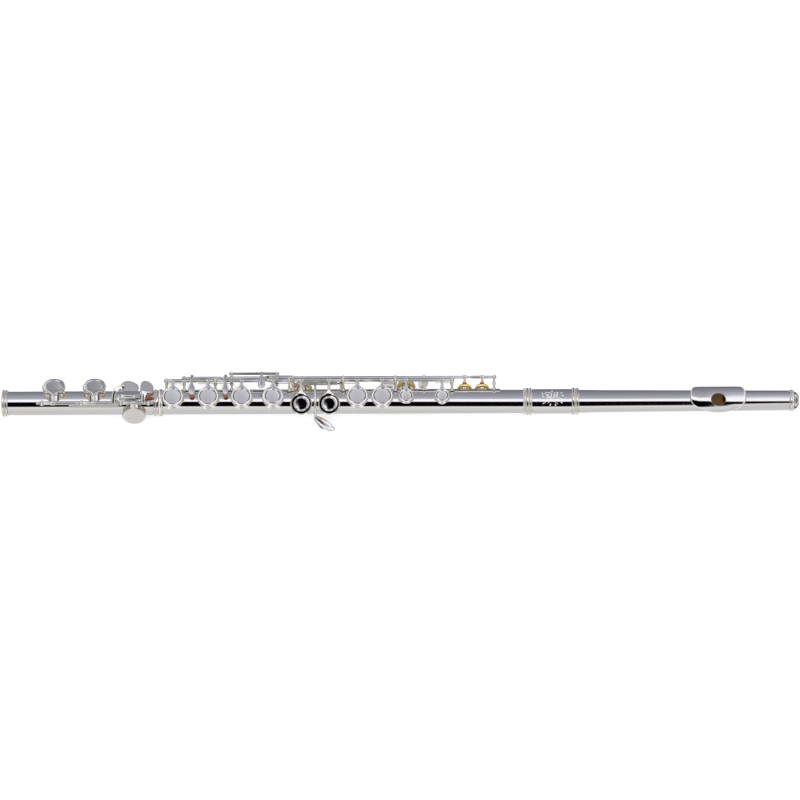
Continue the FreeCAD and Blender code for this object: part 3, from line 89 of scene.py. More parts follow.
def rod_of(body):
    """(y, z) of the rod a key turns on."""
    p = mm(JOINTS[body + "_hinge"]["pos_m"])
    return p[1], p[2]


def cad_points(node):
    return [mm(v.co) for v in frame["nodes"][node].data.vertices]


def clusters(node, rod, near):
    """Centres along X of the groups of a node's points that lie near a rod."""
    gap = 4.0
    xs = sorted(p[0] for p in cad_points(node)
                if math.hypot(p[1] - rod[0], p[2] - rod[1]) < near)
    centres, group = [], [xs[0]]
    for x in xs[1:]:
        if x - group[-1] > gap:
            centres.append((group[0] + group[-1]) / 2)
            group = []
        group.append(x)
    centres.append((group[0] + group[-1]) / 2)
    return centres


def hinge_span(node, rod, radius, x0, x1):
    """X range of a key's hinge tube: its points that lie at the tube's radius from the rod."""
    xs = [p[0] for p in cad_points(node)
          if abs(math.hypot(p[1] - rod[0], p[2] - rod[1]) - radius) < 0.03 and x0 < p[0] < x1]
    return min(xs), max(xs)


# ------------------------------------------------------------------ main sizes
MAIN = rod_of("d")
TRILL = rod_of("d_trill")
SIDE = rod_of("side_bflat")
G_SHARP = rod_of("g_sharp")
THUMB = rod_of("thumb_b")
FOOT = rod_of("low_c")

TUBE_R = round(-box("foot_tube")[0][2], 3)
BORE_R = frame["record"]["mounts"][0]["dims"]["r_mm"]
HINGE_R = 1.55          # hinge tubes of the main and foot rods
SMALL_HINGE_R = 1.3     # hinge tubes of the trill, G sharp and thumb rods
SIDE_HINGE_R = 1.1
CHIMNEY_TOP = 12.3      # heights above the tube's axis
PAD_Z = 12.35
CUP_BOTTOM = 13.05
CUP_TOP = 15.55
CUP_R = 9.2
FOOT_CUP_R = 9.9
THUMB_CUP_R = 8.0
INDEX_CUP_R = 6.6
PAD_INSET = 0.5         # the pad is this much smaller than the cup

# key: (phi, hole radius)
TONE_HOLES = {
    "low_c": (45, 7.8), "low_c_sharp": (45, 7.8), "d_sharp": (-65, 7.8),
    "d": (0, 6.9), "e": (0, 6.9), "f": (0, 6.9), "f_sharp": (0, 6.9),
    "g_low": (-25, 6.6), "g_up": (-25, 6.6), "g_sharp": (114, 6.6),
    "a": (0, 6.6), "a_sharp": (0, 6.6), "thumb": (112, 6.0), "index": (0, 3.5),
    "d_trill": (100, 3.9), "d_sharp_trill": (100, 3.9),
}
FOOT_HOLES = ("low_c", "low_c_sharp", "d_sharp")
PHI = {key: phi for key, (phi, _) in TONE_HOLES.items()}
HOLE_R = {key: radius for key, (_, radius) in TONE_HOLES.items()}
HOLE_X = {key: mid_x(key + "_pad") for key in TONE_HOLES if key not in ("g_low", "g_up")}
# the two G pads are one node, so their centres are one pad radius in from its ends
g_pads_x0, g_pads_x1 = span_x("g_pads")
HOLE_X["g_low"] = g_pads_x0 + (CUP_R - PAD_INSET)
HOLE_X["g_up"] = g_pads_x1 - (CUP_R - PAD_INSET)


# ------------------------------------------------------------------ placing
def turn_x(deg):
    return Matrix.Rotation(math.radians(deg), 4, "X")


def facing(phi):
    """Local +Z turned to direction phi."""
    return turn_x(-phi)


def along_x(x=0.0, y=0.0, z=0.0):
    """Local +Z becomes +X, origin at the given point."""
    return Matrix.Translation(Vector((x, y, z))) @ Matrix.Rotation(math.radians(90), 4, "Y")


CLOSED_AT_REST = ("low_d_sharp", "g_sharp")


def rest_swing(body):
    """Swing of a key about its rod from closed to its resting pose."""
    if body in CLOSED_AT_REST:
        return ID
    joint = JOINTS[body + "_hinge"]
    rod = Matrix.Translation(Vector((0, *rod_of(body))))
    return rod @ turn_x(-joint["range_deg"][1] * joint["axis"][0]) @ rod.inverted()


# ------------------------------------------------------------------ shader helpers
def feed(tree, socket, value):
    """Link a node output to a socket, or set a plain value."""
    if isinstance(value, bpy.types.NodeSocket):
        tree.links.new(value, socket)
    else:
        socket.default_value = value


def new_material(name, values):
    """Material with one Principled shader; values are its inputs by name."""
    mat = bpy.data.materials.new(name)
    mat.use_nodes = True
    tree = mat.node_tree
    for node in list(tree.nodes):
        tree.nodes.remove(node)
    out = tree.nodes.new("ShaderNodeOutputMaterial")
    shader = tree.nodes.new("ShaderNodeBsdfPrincipled")
    tree.links.new(shader.outputs[0], out.inputs[0])
    for key, value in values.items():
        shader.inputs[key].default_value = value
    return mat, tree, shader


def object_coords(tree, scale=(1, 1, 1)):
    coords = tree.nodes.new("ShaderNodeTexCoord")
    mapping = tree.nodes.new("ShaderNodeMapping")
    mapping.inputs["Scale"].default_value = scale
    tree.links.new(coords.outputs["Object"], mapping.inputs["Vector"])
    return mapping.outputs[0]


def noise(tree, coords, scale, detail, roughness=0.55):
    node = tree.nodes.new("ShaderNodeTexNoise")
    node.inputs["Scale"].default_value = scale
    node.inputs["Detail"].default_value = detail
    node.inputs["Roughness"].default_value = roughness
    tree.links.new(coords, node.inputs["Vector"])
    return node.outputs["Fac"]


def ramp(tree, factor, stops):
    """stops: (position, linear RGB)."""
    node = tree.nodes.new("ShaderNodeValToRGB")
    elements = node.color_ramp.elements
    while len(elements) > 1:
        elements.remove(elements[0])
    elements[0].position, elements[0].color = stops[0][0], (*stops[0][1], 1)
    for position, colour in stops[1:]:
        elements.new(position).color = (*colour, 1)
    tree.links.new(factor, node.inputs[0])
    return node.outputs[0]


def map_range(tree, value, to_range, from_range=(0.0, 1.0)):
    """Clamped straight-line remap."""
    node = tree.nodes.new("ShaderNodeMapRange")
    node.inputs["From Min"].default_value, node.inputs["From Max"].default_value = from_range
    node.inputs["To Min"].default_value, node.inputs["To Max"].default_value = to_range
    tree.links.new(value, node.inputs["Value"])
    return node.outputs[0]


def math_node(tree, operation, *values):
    node = tree.nodes.new("ShaderNodeMath")
    node.operation = operation
    for socket, value in zip(node.inputs, values):
        feed(tree, socket, value)
    return node.outputs[0]


def mix_colour(tree, factor, a, b, blend="MIX"):
    node = tree.nodes.new("ShaderNodeMix")
    node.data_type = "RGBA"
    node.blend_type = blend
    for index, value in ((0, factor), (6, a), (7, b)):
        feed(tree, node.inputs[index], value)
    return node.outputs[2]


def bump(tree, shader, height, distance, strength, under=None):
    """Bump on the shader's normal; under is an earlier bump to build on."""
    node = tree.nodes.new("ShaderNodeBump")
    node.inputs["Distance"].default_value = distance
    node.inputs["Strength"].default_value = strength
    tree.links.new(height, node.inputs["Height"])
    if under is not None:
        tree.links.new(under, node.inputs["Normal"])
    tree.links.new(node.outputs[0], shader.inputs["Normal"])
    return node.outputs[0]


# ------------------------------------------------------------------ materials
def recess_shade_and_tarnish(tree, colour, reach):
    """Darken recesses by ambient occlusion: painted shade in creases and where parts meet, standing also for the
    tarnish that polishing cloths leave there.
    """
    ao = tree.nodes.new("ShaderNodeAmbientOcclusion")
    ao.samples = 6
    ao.inputs["Distance"].default_value = reach
    shade = ramp(tree, ao.outputs["AO"],
                 [(0.15, (0.22, 0.19, 0.15)), (0.55, (0.72, 0.70, 0.66)), (0.86, (1.0, 1.0, 1.0))])
    return mix_colour(tree, 1.0, colour, shade, blend="MULTIPLY")


def plated(name, tint, rough, tarnish, wave=0.00001, recess_shade_reach=None, **more):
    """Polished plating, slightly cloudy, with hairline wear along the tube and warm patches.

    rough: lowest and highest roughness. tarnish: more brings the warm tint in sooner.
    wave: height of the surface waviness in metres. recess: reach of the painted shade and tarnish in recesses, in
    metres.
    more: further shader inputs, by name with underscores.
    """
    values = {"Metallic": 1.0}
    values.update({key.replace("_", " "): value for key, value in more.items()})
    mat, tree, shader = new_material(name, values)
    coords = object_coords(tree)
    cloud = noise(tree, coords, scale=34.0, detail=5)
    warm = tuple(c * k for c, k in zip(tint, (0.99, 0.965, 0.90)))
    warm_from = min(0.62 + 0.2 / tarnish, 0.99)
    colour = ramp(tree, cloud, [(0.35, tint), (0.62, tint), (warm_from, warm)])
    # painted shade, with some tarnish: recesses darkened by ambient occlusion
    if recess_shade_reach:
        colour = recess_shade_and_tarnish(tree, colour, recess_shade_reach)
    tree.links.new(colour, shader.inputs["Base Color"])
    hairlines = noise(tree, object_coords(tree, (30, 900, 900)), scale=3.0, detail=3)
    wear = math_node(tree, "MULTIPLY_ADD", hairlines, 0.5, cloud)
    tree.links.new(map_range(tree, wear, rough), shader.inputs["Roughness"])
    bump(tree, shader, noise(tree, coords, scale=55.0, detail=2), distance=wave, strength=0.6)
    return mat


SILVER = plated("silver_plate", (0.94, 0.935, 0.93), rough=(0.01, 0.06), tarnish=0.5)
SILVER_KEY = plated("silver_keys", (0.95, 0.94, 0.925), rough=(0.04, 0.13), tarnish=0.8,
                    wave=0.00002, recess_shade_reach=0.0012)
SILVER_WARM = plated("silver_posts", (0.95, 0.925, 0.875), rough=(0.05, 0.14), tarnish=1.0,
                     wave=0.00002, recess_shade_reach=0.0012)
SILVER_SATIN = plated("silver_dish", (0.97, 0.965, 0.96), rough=(0.17, 0.27), tarnish=0.6,
                      recess_shade_reach=0.0009)
# painted shade: the hinge tubes are the keys' plating with a darker tint, for the darker reflections along them
SILVER_ROD_SHADED = plated("silver_rods_painted_shade", (0.80, 0.795, 0.80), rough=(0.04, 0.12), tarnish=0.8,
                    recess_shade_reach=0.0014)
# painted shade: the finger touches are the keys' plating tinted darker, and the C sharp touch darker still, for
# how grey they look under the lights
SILVER_TOUCH_SHADED = plated("silver_touches_painted_shade", (0.66, 0.66, 0.675), rough=(0.08, 0.18), tarnish=0.6,
                      recess_shade_reach=0.0012)
SILVER_DEEP_SHADED = plated("silver_deep_painted_shade", (0.40, 0.40, 0.42), rough=(0.12, 0.22), tarnish=0.6,
                      recess_shade_reach=0.0012)
SILVER_RIB = plated("silver_foot_rib", (0.90, 0.875, 0.84), rough=(0.42, 0.52), tarnish=0.8,
                    recess_shade_reach=0.0012)
# painted shade: the side lever's thin rod is the same plating tinted much darker, for the dark grey it shows
SILVER_THIN_ROD_SHADED = plated("silver_thin_rod_painted_shade", (0.36, 0.36, 0.37), rough=(0.10, 0.20), tarnish=0.6,
                     recess_shade_reach=0.0012)
SILVER_PALE = plated("silver_matt_cup", (0.93, 0.90, 0.885), rough=(0.32, 0.42), tarnish=0.5,
                     recess_shade_reach=0.0012)
# painted light: the bore's lacquer glows a little, since hardly any light gets into it
GLOWING_LACQUER = plated("bore_lacquer_glow", (0.30, 0.205, 0.085), rough=(0.38, 0.52), tarnish=0.8,
                 wave=0.00003, Metallic=0.45, Emission_Color=(0.30, 0.20, 0.08, 1),
                 Emission_Strength=0.10)


def steel(name, colour, rough):
    """Steel with fine lines across its length."""
    mat, tree, shader = new_material(name, {"Metallic": 1.0, "Base Color": (*colour, 1)})
    lines = noise(tree, object_coords(tree, (1500, 60, 60)), scale=1.0, detail=3)
    tree.links.new(map_range(tree, lines, (rough * 0.7, rough * 1.4)), shader.inputs["Roughness"])
    bump(tree, shader, lines, distance=0.00001, strength=0.4)
    return mat


STEEL = steel("rod_steel", colour=(0.62, 0.63, 0.65), rough=0.25)
BLUED = steel("spring_steel", colour=(0.20, 0.23, 0.32), rough=0.3)


def pad_material():
    mat, tree, shader = new_material("pad_skin", {
        "Roughness": 0.5, "Coat Weight": 0.15, "Coat Roughness": 0.3,
        "Subsurface Weight": 0.08, "Subsurface Radius": (0.001, 0.0007, 0.0003)})
    grain = noise(tree, object_coords(tree), scale=420.0, detail=6, roughness=0.6)
    wrinkles = noise(tree, object_coords(tree, (1, 1, 3)), scale=160.0, detail=4)
    colour = ramp(tree, grain, [(0.3, (0.62, 0.42, 0.10)), (0.5, (0.78, 0.58, 0.17)),
                                (0.72, (0.88, 0.73, 0.32))])
    tree.links.new(colour, shader.inputs["Base Color"])
    fine = bump(tree, shader, grain, distance=0.00006, strength=0.7)
    bump(tree, shader, wrinkles, distance=0.0002, strength=0.5, under=fine)
    return mat


def cork_material():
    mat, tree, shader = new_material("cork", {"Roughness": 0.8})
    coords = object_coords(tree)
    grain = noise(tree, coords, scale=900.0, detail=5, roughness=0.65)
    cells = tree.nodes.new("ShaderNodeTexVoronoi")
    cells.inputs["Scale"].default_value = 1600.0
    tree.links.new(coords, cells.inputs["Vector"])
    colour = ramp(tree, grain, [(0.30, (0.09, 0.026, 0.012)), (0.5, (0.25, 0.078, 0.034)),
                                (0.75, (0.40, 0.15, 0.075))])
    tree.links.new(colour, shader.inputs["Base Color"])
    fine = bump(tree, shader, grain, distance=0.0002, strength=0.8)
    bump(tree, shader, cells.outputs["Distance"], distance=0.00015, strength=0.6, under=fine)
    return mat


def engraving_material():
    mat, tree, shader = new_material("engraved_line", {"Metallic": 0.35, "Roughness": 0.5})
    grain = noise(tree, object_coords(tree), scale=2600.0, detail=3)
    colour = ramp(tree, grain, [(0.3, (0.42, 0.41, 0.41)), (0.5, (0.80, 0.79, 0.78)),
                                (0.7, (0.97, 0.96, 0.95))])
    tree.links.new(colour, shader.inputs["Base Color"])
    bump(tree, shader, grain, distance=0.00003, strength=0.9)
    return mat


PAD = pad_material()
CORK = cork_material()
ENGRAVE = engraving_material()


# ------------------------------------------------------------------ mesh helpers
def make(name, verts, faces, mat, body, place=ID, sharp=32, replaces=None):
    """verts are in a local frame that place takes to the frame of the flute.

    sharp: angle in degrees above which an edge is not smoothed.
    replaces: the CAD node whose place the piece takes.
    """
    mesh = bpy.data.meshes.new(name)
    mesh.from_pydata([tuple(c * 0.001 for c in (place @ Vector(v))) for v in verts], [], faces)
    mesh.validate()
    bm = bmesh.new()
    bm.from_mesh(mesh)
    bmesh.ops.remove_doubles(bm, verts=bm.verts, dist=1e-7)
    bmesh.ops.recalc_face_normals(bm, faces=bm.faces)
    bm.to_mesh(mesh)
    bm.free()
    for polygon in mesh.polygons:
        polygon.use_smooth = True
    mesh.set_sharp_from_angle(angle=math.radians(sharp))
    piece = bpy.data.objects.new(name, mesh)
    bpy.context.scene.collection.objects.link(piece)
    mesh.materials.append(mat)
    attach(piece, body)
    if replaces:
        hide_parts(replaces)
    return piece


def bands(count, n, wrap=False):
    """Quads between count closed rings of n points; wrap joins the last ring to the first."""
    return [(k * n + i, k * n + (i + 1) % n,
             (k + 1) % count * n + (i + 1) % n, (k + 1) % count * n + i)
            for k in range(count if wrap else count - 1) for i in range(n)]


def capped_bands(count, n):
    return bands(count, n) + [tuple(range(n))[::-1], tuple(range((count - 1) * n, count * n))]


def oval(a, b, n):
    """n points (x, y) round an ellipse."""
    turns = [2 * math.pi * i / n for i in range(n)]
    return [(a * math.cos(t), b * math.sin(t)) for t in turns]


def cylinder_z(radius, y):
    """Height of a cylinder along X over the given y."""
    return math.sqrt(max(radius ** 2 - y * y, 0.0))


def interpolate(points, x):
    """Straight-line lookup in (x, value) points, held level beyond both ends."""
    if x <= points[0][0]:
        return points[0][1]
    for (xa, a), (xb, b) in zip(points, points[1:]):
        if x <= xb:
            return a + (b - a) * (x - xa) / (xb - xa)
    return points[-1][1]


def fillet(rows, steps=4):
    """Round the corners of a closed outline. rows: (coordinate, coordinate, rounding)."""
    out = []
    for i, (u, v, rounding) in enumerate(rows):
        corner = Vector((u, v))
        to_last = Vector(rows[i - 1][:2]) - corner
        to_next = Vector(rows[(i + 1) % len(rows)][:2]) - corner
        if rounding <= 0 or to_last.length < 1e-6 or to_next.length < 1e-6:
            out.append((u, v))
            continue
        cut = min(rounding, to_last.length * 0.48, to_next.length * 0.48)
        start = corner + to_last / to_last.length * cut
        end = corner + to_next / to_next.length * cut
        for j in range(steps + 1):
            t = j / steps
            out.append(tuple(start * (1 - t) ** 2 + corner * 2 * t * (1 - t) + end * t * t))
    return out


def revolve(name, profile, mat, body, place=ID, n=96, sharp=32, replaces=None):
    """profile: (radius, height) pairs, turned about local Z and closed on itself."""
    verts, faces, rows = [], [], []
    for radius, height in profile:
        if radius < 1e-6:
            rows.append([len(verts)])
            verts.append((0, 0, height))
        else:
            rows.append(list(range(len(verts), len(verts) + n)))
            verts += [(x, y, height) for x, y in oval(radius, radius, n)]
    for a, b in zip(rows, rows[1:] + rows[:1]):
        if len(a) == len(b) == 1:
            continue
        for i in range(n):
            j = (i + 1) % n
            if len(a) == 1:
                faces.append((a[0], b[j], b[i]))
            elif len(b) == 1:
                faces.append((a[i], a[j], b[0]))
            else:
                faces.append((a[i], a[j], b[j], b[i]))
    return make(name, verts, faces, mat, body, place, sharp, replaces)


def turned_x(name, outline, mat, body, n, sharp=32, replaces=None):
    """outline: (x, radius) pairs, turned about the axis of the flute."""
    profile = [(radius, x) for x, radius in outline]
    return revolve(name, profile, mat, body, along_x(), n, sharp, replaces)


def rod_x(name, radius, x0, x1, rod, mat, body, place=ID, edge=0.12, n=40, replaces=None):
    """Solid round bar along the line (y, z) = rod, with rounded ends."""
    profile = fillet([(0, x0, 0), (radius, x0, edge), (radius, x1, edge), (0, x1, 0)], 3)
    revolve(name, profile, mat, body, place @ along_x(0, *rod), n, replaces=replaces)


def smooth_path(points, steps):
    """Catmull-Rom curve through vectors of any dimension."""
    p = [Vector(q) for q in points]
    p = [p[0] * 2 - p[1]] + p + [p[-1] * 2 - p[-2]]
    out = []
    for a, b, c, d in zip(p, p[1:], p[2:], p[3:]):
        for j in range(steps):
            t = j / steps
            out.append(0.5 * ((2 * b) + (c - a) * t + (2 * a - 5 * b + 4 * c - d) * t * t
                              + (3 * b - a - 3 * c + d) * t ** 3))
    out.append(p[-2])
    return out


def at_x(x, rows):
    return [(x, *row) for row in rows]


def strap(name, path, mat, body, place=ID, steps=6, ring=20, power=3.0, replaces=None):
    """Rounded bar. path rows: (x, y, z, width, thickness); the width lies along X.

    power: 2 gives an oval section, more a squarer one.
    """
    points = smooth_path(path, steps)
    verts = []
    last = len(points) - 1
    for i, p in enumerate(points):
        before, after = points[max(i - 1, 0)], points[min(i + 1, last)]
        tangent = Vector([after[c] - before[c] for c in range(3)]).normalized()
        side = Vector((1, 0, 0)) - tangent * tangent.x
        if side.length < 0.2:
            side = Vector((0, 1, 0)) - tangent * tangent.y
        side.normalize()
        up = side.cross(tangent).normalized()
        half_w, half_t = max(p[3], 0.02) / 2, max(p[4], 0.02) / 2
        for c, s in oval(1, 1, ring):
            across = half_w * math.copysign(abs(c) ** (2.0 / power), c)
            above = half_t * math.copysign(abs(s) ** (2.0 / power), s)
            verts.append(tuple(Vector(p[:3]) + side * across + up * above))
    make(name, verts, capped_bands(len(points), ring), mat, body, place, 40, replaces)


def rectangle(x0, x1, y0, y1):
    return [(x0, y0), (x1, y0), (x1, y1), (x0, y1)]


def plate(name, outline, z0, z1, mat, body, place=ID, crown=0.0, edge=0.3, rounds=3,
          replaces=None):
    """Flat part with a smooth outline (x, y), rounded edges and a top raised by crown.

    rounds: how many times the outline's corners are cut.
    """
    points = [Vector(p) for p in outline]
    for _ in range(rounds):
        cut = []
        for i, a in enumerate(points):
            b = points[(i + 1) % len(points)]
            cut += [a * 0.75 + b * 0.25, a * 0.25 + b * 0.75]
        points = cut
    n = len(points)
    centre = sum(points, Vector((0, 0))) / n
    verts = []

    def add_ring(shrink, z):
        for p in points:
            inward = centre - p
            q = p + inward / inward.length * min(shrink, inward.length * 0.95)
            verts.append((q.x, q.y, z))

    quarter = [math.pi / 2 * j / 3 for j in range(4)]
    for a in quarter:
        add_ring(edge * (1 - math.sin(a)), z0 + edge * (1 - math.cos(a)))
    for a in quarter:
        add_ring(edge * (1 - math.cos(a)), z1 - edge * (1 - math.sin(a)))
    for f in (0.15, 0.32, 0.5, 0.68, 0.84, 0.94):
        for p in points:
            q = p.lerp(centre, f)
            verts.append((q.x, q.y, z1 + crown * (1 - (1 - f) ** 2)))
    top = len(verts)
    faces = bands(top // n, n)
    verts += [(centre.x, centre.y, z1 + crown), (centre.x, centre.y, z0)]
    for i in range(n):
        j = (i + 1) % n
        faces += [(top - n + i, top - n + j, top), (j, i, top + 1)]
    return make(name, verts, faces, mat, body, place, 50, replaces)


# ------------------------------------------------------------------ tone holes
def chimney(key):
    """Drawn and rolled tone hole: its foot follows the tube."""
    n, top = 96, CHIMNEY_TOP
    inner = HOLE_R[key]
    outer = inner + 0.55
    # (radius, height above the tube)
    skirt = [(outer + 0.55, 0.02), (outer + 0.25, 0.14), (outer + 0.08, 0.38), (outer, 0.75)]
    # (radius, height)
    wall = [(outer, top - 0.55), (outer + 0.10, top - 0.2), (outer + 0.02, top),
            (inner + 0.12, top), (inner, top - 0.15), (inner, top - 1.0)]
    points = [(x, y, min(cylinder_z(TUBE_R, y) + rise, top - 0.6))
              for radius, rise in skirt for x, y in oval(radius, radius, n)]
    points += [(x, y, z) for radius, z in wall for x, y in oval(radius, radius, n)]
    points += [(x, y, cylinder_z(BORE_R, y)) for x, y in oval(inner, inner, n)]
    verts = [(HOLE_X[key] + x, y, z) for x, y, z in points]
    make("tone_hole_" + key, verts, bands(len(verts) // n, n), SILVER_KEY,
         "foot" if key in FOOT_HOLES else "body", facing(PHI[key]), 50)


for key in TONE_HOLES:
    chimney(key)


# ------------------------------------------------------------------ tubes with real holes
def hole_cutter(hole_x, phi, a, b):
    """Straight-sided oval prism through one wall of a tube."""
    n = 64
    place = facing(phi)
    verts = [place @ Vector((hole_x + x, y, z)) for z in (4.0, 14.0) for x, y in oval(a, b, n)]
    mesh = bpy.data.meshes.new("cut")
    mesh.from_pydata([tuple(c * 0.001 for c in v) for v in verts], [], capped_bands(2, n))
    bm = bmesh.new()
    bm.from_mesh(mesh)
    bmesh.ops.recalc_face_normals(bm, faces=bm.faces)
    bm.to_mesh(mesh)
    bm.free()
    cutter = bpy.data.objects.new("cut", mesh)
    bpy.context.scene.collection.objects.link(cutter)
    return cutter


def subtract(piece, cutter):
    mod = piece.modifiers.new("cut", "BOOLEAN")
    mod.operation = "DIFFERENCE"
    mod.solver = "EXACT"
    mod.object = cutter
    bpy.context.view_layer.update()
    depsgraph = bpy.context.evaluated_depsgraph_get()
    mesh = bpy.data.meshes.new_from_object(piece.evaluated_get(depsgraph))
    piece.modifiers.clear()
    whole = piece.data
    mat = whole.materials[0]
    piece.data = mesh
    mesh.materials.clear()
    mesh.materials.append(mat)
    bpy.data.meshes.remove(whole)


def long_tube(name, outer, inner, body, replaces, holes):
    """outer, inner: (x, radius) there and back. holes: (x, phi, half length, half width)."""
    tube = turned_x(name, outer + inner, SILVER, body, n=192, replaces=replaces)
    cutters = [hole_cutter(*hole) for hole in holes]
    bpy.ops.object.select_all(action="DESELECT")
    for cutter in cutters:
        cutter.select_set(True)
    bpy.context.view_layer.objects.active = cutters[0]
    bpy.ops.object.join()
    subtract(tube, cutters[0])
    bpy.data.objects.remove(cutters[0])
    # true radial normals keep the reflections straight across the cut faces
    mesh = tube.data
    normals = []
    for v in mesh.vertices:
        radial = Vector((0, v.co.y, v.co.z))
        inside = radial.length * 1000 < interpolate(outer, v.co.x * 1000) - 0.15
        radial.normalize()
        normals.append(-radial if inside else radial)
    for polygon in mesh.polygons:
        polygon.use_smooth = True
    mesh.normals_split_custom_set_from_vertices(normals)


def straight_tube(name, body, node, keys):
    x0, x1 = span_x(node)
    edge = 0.12
    outer = [(x0, TUBE_R - edge), (x0 + edge, TUBE_R), (x1 - edge, TUBE_R), (x1, TUBE_R - edge)]
    inner = [(x, BORE_R) for x in (x1, x1 - 0.01, x0 + 0.01, x0)]
    long_tube(name, outer, inner, body, node,
              [(HOLE_X[key], PHI[key], HOLE_R[key], HOLE_R[key]) for key in keys])


straight_tube("body_wall", "body", "body_tube", [k for k in TONE_HOLES if k not in FOOT_HOLES])
straight_tube("foot_wall", "foot", "foot_tube", FOOT_HOLES)

# ------------------------------------------------------------------ head joint
HEAD_X0, HEAD_X1 = span_x("head_tube")
BARREL_X0, BARREL_X1 = span_x("barrel")
LIP_X0, LIP_X1 = span_x("lip_plate")
LIP_X = (LIP_X0 + LIP_X1) / 2
LIP_PHI = -10
BLOW_A, BLOW_B = 6.1, 5.2       # half length and half width of the blowing hole
# outer taper: (x, radius)
HEAD_TAPER = [(HEAD_X0, 9.65), (BARREL_X1 + 0.2, 9.65), (505.7, 9.35), (548.0, 9.05),
              (641.0, 8.5), (HEAD_X1, 8.4)]


def head_r(x):
    return interpolate(HEAD_TAPER, x)


def lip_z(y):
    """Height of the arched top of the lip plate."""
    return 1.6 + cylinder_z(12.0, y)


def head_wall():
    xs = [HEAD_X0, BARREL_X1 + 0.2, 492, 498, 505.7, 515, 530, 548, 570, 590, 620, 641, HEAD_X1]
    outer = [(x, head_r(x)) for x in xs]
    inner = [(x, min(head_r(x) - 0.42, 9.23) if x < 618 else 8.05) for x in reversed(xs)]
    long_tube("head_wall", outer, inner, "head", "head_tube", [(LIP_X, LIP_PHI, BLOW_A, BLOW_B)])


def riser():
    """Wall between the head tube and the lip plate, and the lacquered wall of the hole, which glows a little as
    painted light.
    """
    n = 96

    def ring(grow, height):
        return [(LIP_X + x, y, height(LIP_X + x, y))
                for x, y in oval(BLOW_A + grow, BLOW_B + grow, n)]

    # (growth over the hole, rise above the head tube)
    rings = [ring(grow, lambda x, y: min(cylinder_z(head_r(x), y) + rise, lip_z(y) - 0.8))
             for grow, rise in ((1.9, 0.02), (1.35, 0.35), (1.1, 1.0), (0.95, 3.0))]
    # (growth over the hole, height relative to the lip plate)
    rings += [ring(grow, lambda x, y: lip_z(y) + rise)
              for grow, rise in ((0.55, 0.02), (0.25, 0.0), (0.0, -0.3), (0.0, -1.6))]
    rings.append(ring(0.25, lambda x, y: cylinder_z(head_r(x) - 0.5, y)))
    for name, part, mat, node in (("riser", rings[:6], SILVER_KEY, "embouchure_riser"),
                                  ("riser_wall", rings[5:], GLOWING_LACQUER, None)):
        make(name, sum(part, []), bands(len(part), n), mat, "head", facing(LIP_PHI), 40, node)


def bore_strip():
    """Lacquered strip of the bore that shows through the blowing hole; it glows a little as painted light."""
    steps, rows = 60, 9
    verts, faces = [], []
    for k in range(rows):
        x = LIP_X - 9 + 18 * k / (rows - 1)
        radius = head_r(x) - 0.52
        for i in range(steps + 1):
            a = math.radians(50 + 260 * i / steps)
            verts.append((x, radius * math.sin(a), radius * math.cos(a)))
    for k in range(rows - 1):
        for i in range(steps):
            a = k * (steps + 1) + i
            faces.append((a, a + 1, a + steps + 2, a + steps + 1))
    make("bore_strip", verts, faces, GLOWING_LACQUER, "head", facing(LIP_PHI), 60)


def lip_plate():
    """Curved plate round the blowing hole, following an arch, its rim thinned."""
    n = 160
    half_length, plus_y, minus_y, corner = (LIP_X1 - LIP_X0) / 2, 11.3, 10.4, 5.5
    thickness = 0.9

    def rim(c, s):
        """Outline: squared off with round corners on the +Y side, half an oval on the other."""
        if s <= 0:
            return half_length * c, minus_y * s
        lo, hi = 0.8, 1.6
        for _ in range(30):
            k = (lo + hi) / 2
            x, y = abs(half_length * c * k), plus_y * s * k
            inside = x <= half_length and y <= plus_y
            corner_x, corner_y = x - half_length + corner, y - plus_y + corner
            if inside and corner_x > 0 and corner_y > 0:
                inside = math.hypot(corner_x, corner_y) <= corner
            lo, hi = (k, hi) if inside else (lo, k)
        return half_length * c * lo, plus_y * s * lo

    def point(c, s, f, face):
        """f runs from the hole to the rim; face is 1 above and -1 below."""
        rim_x, rim_y = rim(c, s)
        hole_x, hole_y = (BLOW_A + 0.35) * c, (BLOW_B + 0.35) * s
        x, y = hole_x + (rim_x - hole_x) * f, hole_y + (rim_y - hole_y) * f
        thinning = max(0.0, (f - 0.93) / 0.07) * 0.98
        thick = thickness * math.sqrt(1 - thinning ** 2)
        bend = 0.35 * (abs(x) / half_length) ** 4
        normal = Vector((0, y, cylinder_z(12.0, y))).normalized()
        middle = Vector((LIP_X + x, y, lip_z(y) - thickness / 2 - bend))
        return tuple(middle + normal * (thick / 2 * face))

    fractions = [0, 0.01, 0.03, 0.06] + [0.1 + 0.83 * k / 16 for k in range(17)]
    fractions += [0.95, 0.97, 0.985, 0.995, 1.0]
    verts = [point(c, s, f, face) for face in (1, -1) for f in fractions[::face]
             for c, s in oval(1, 1, n)]
    make("lip", verts, bands(len(fractions) * 2, n, wrap=True), SILVER, "head",
         facing(LIP_PHI), 50, "lip_plate")


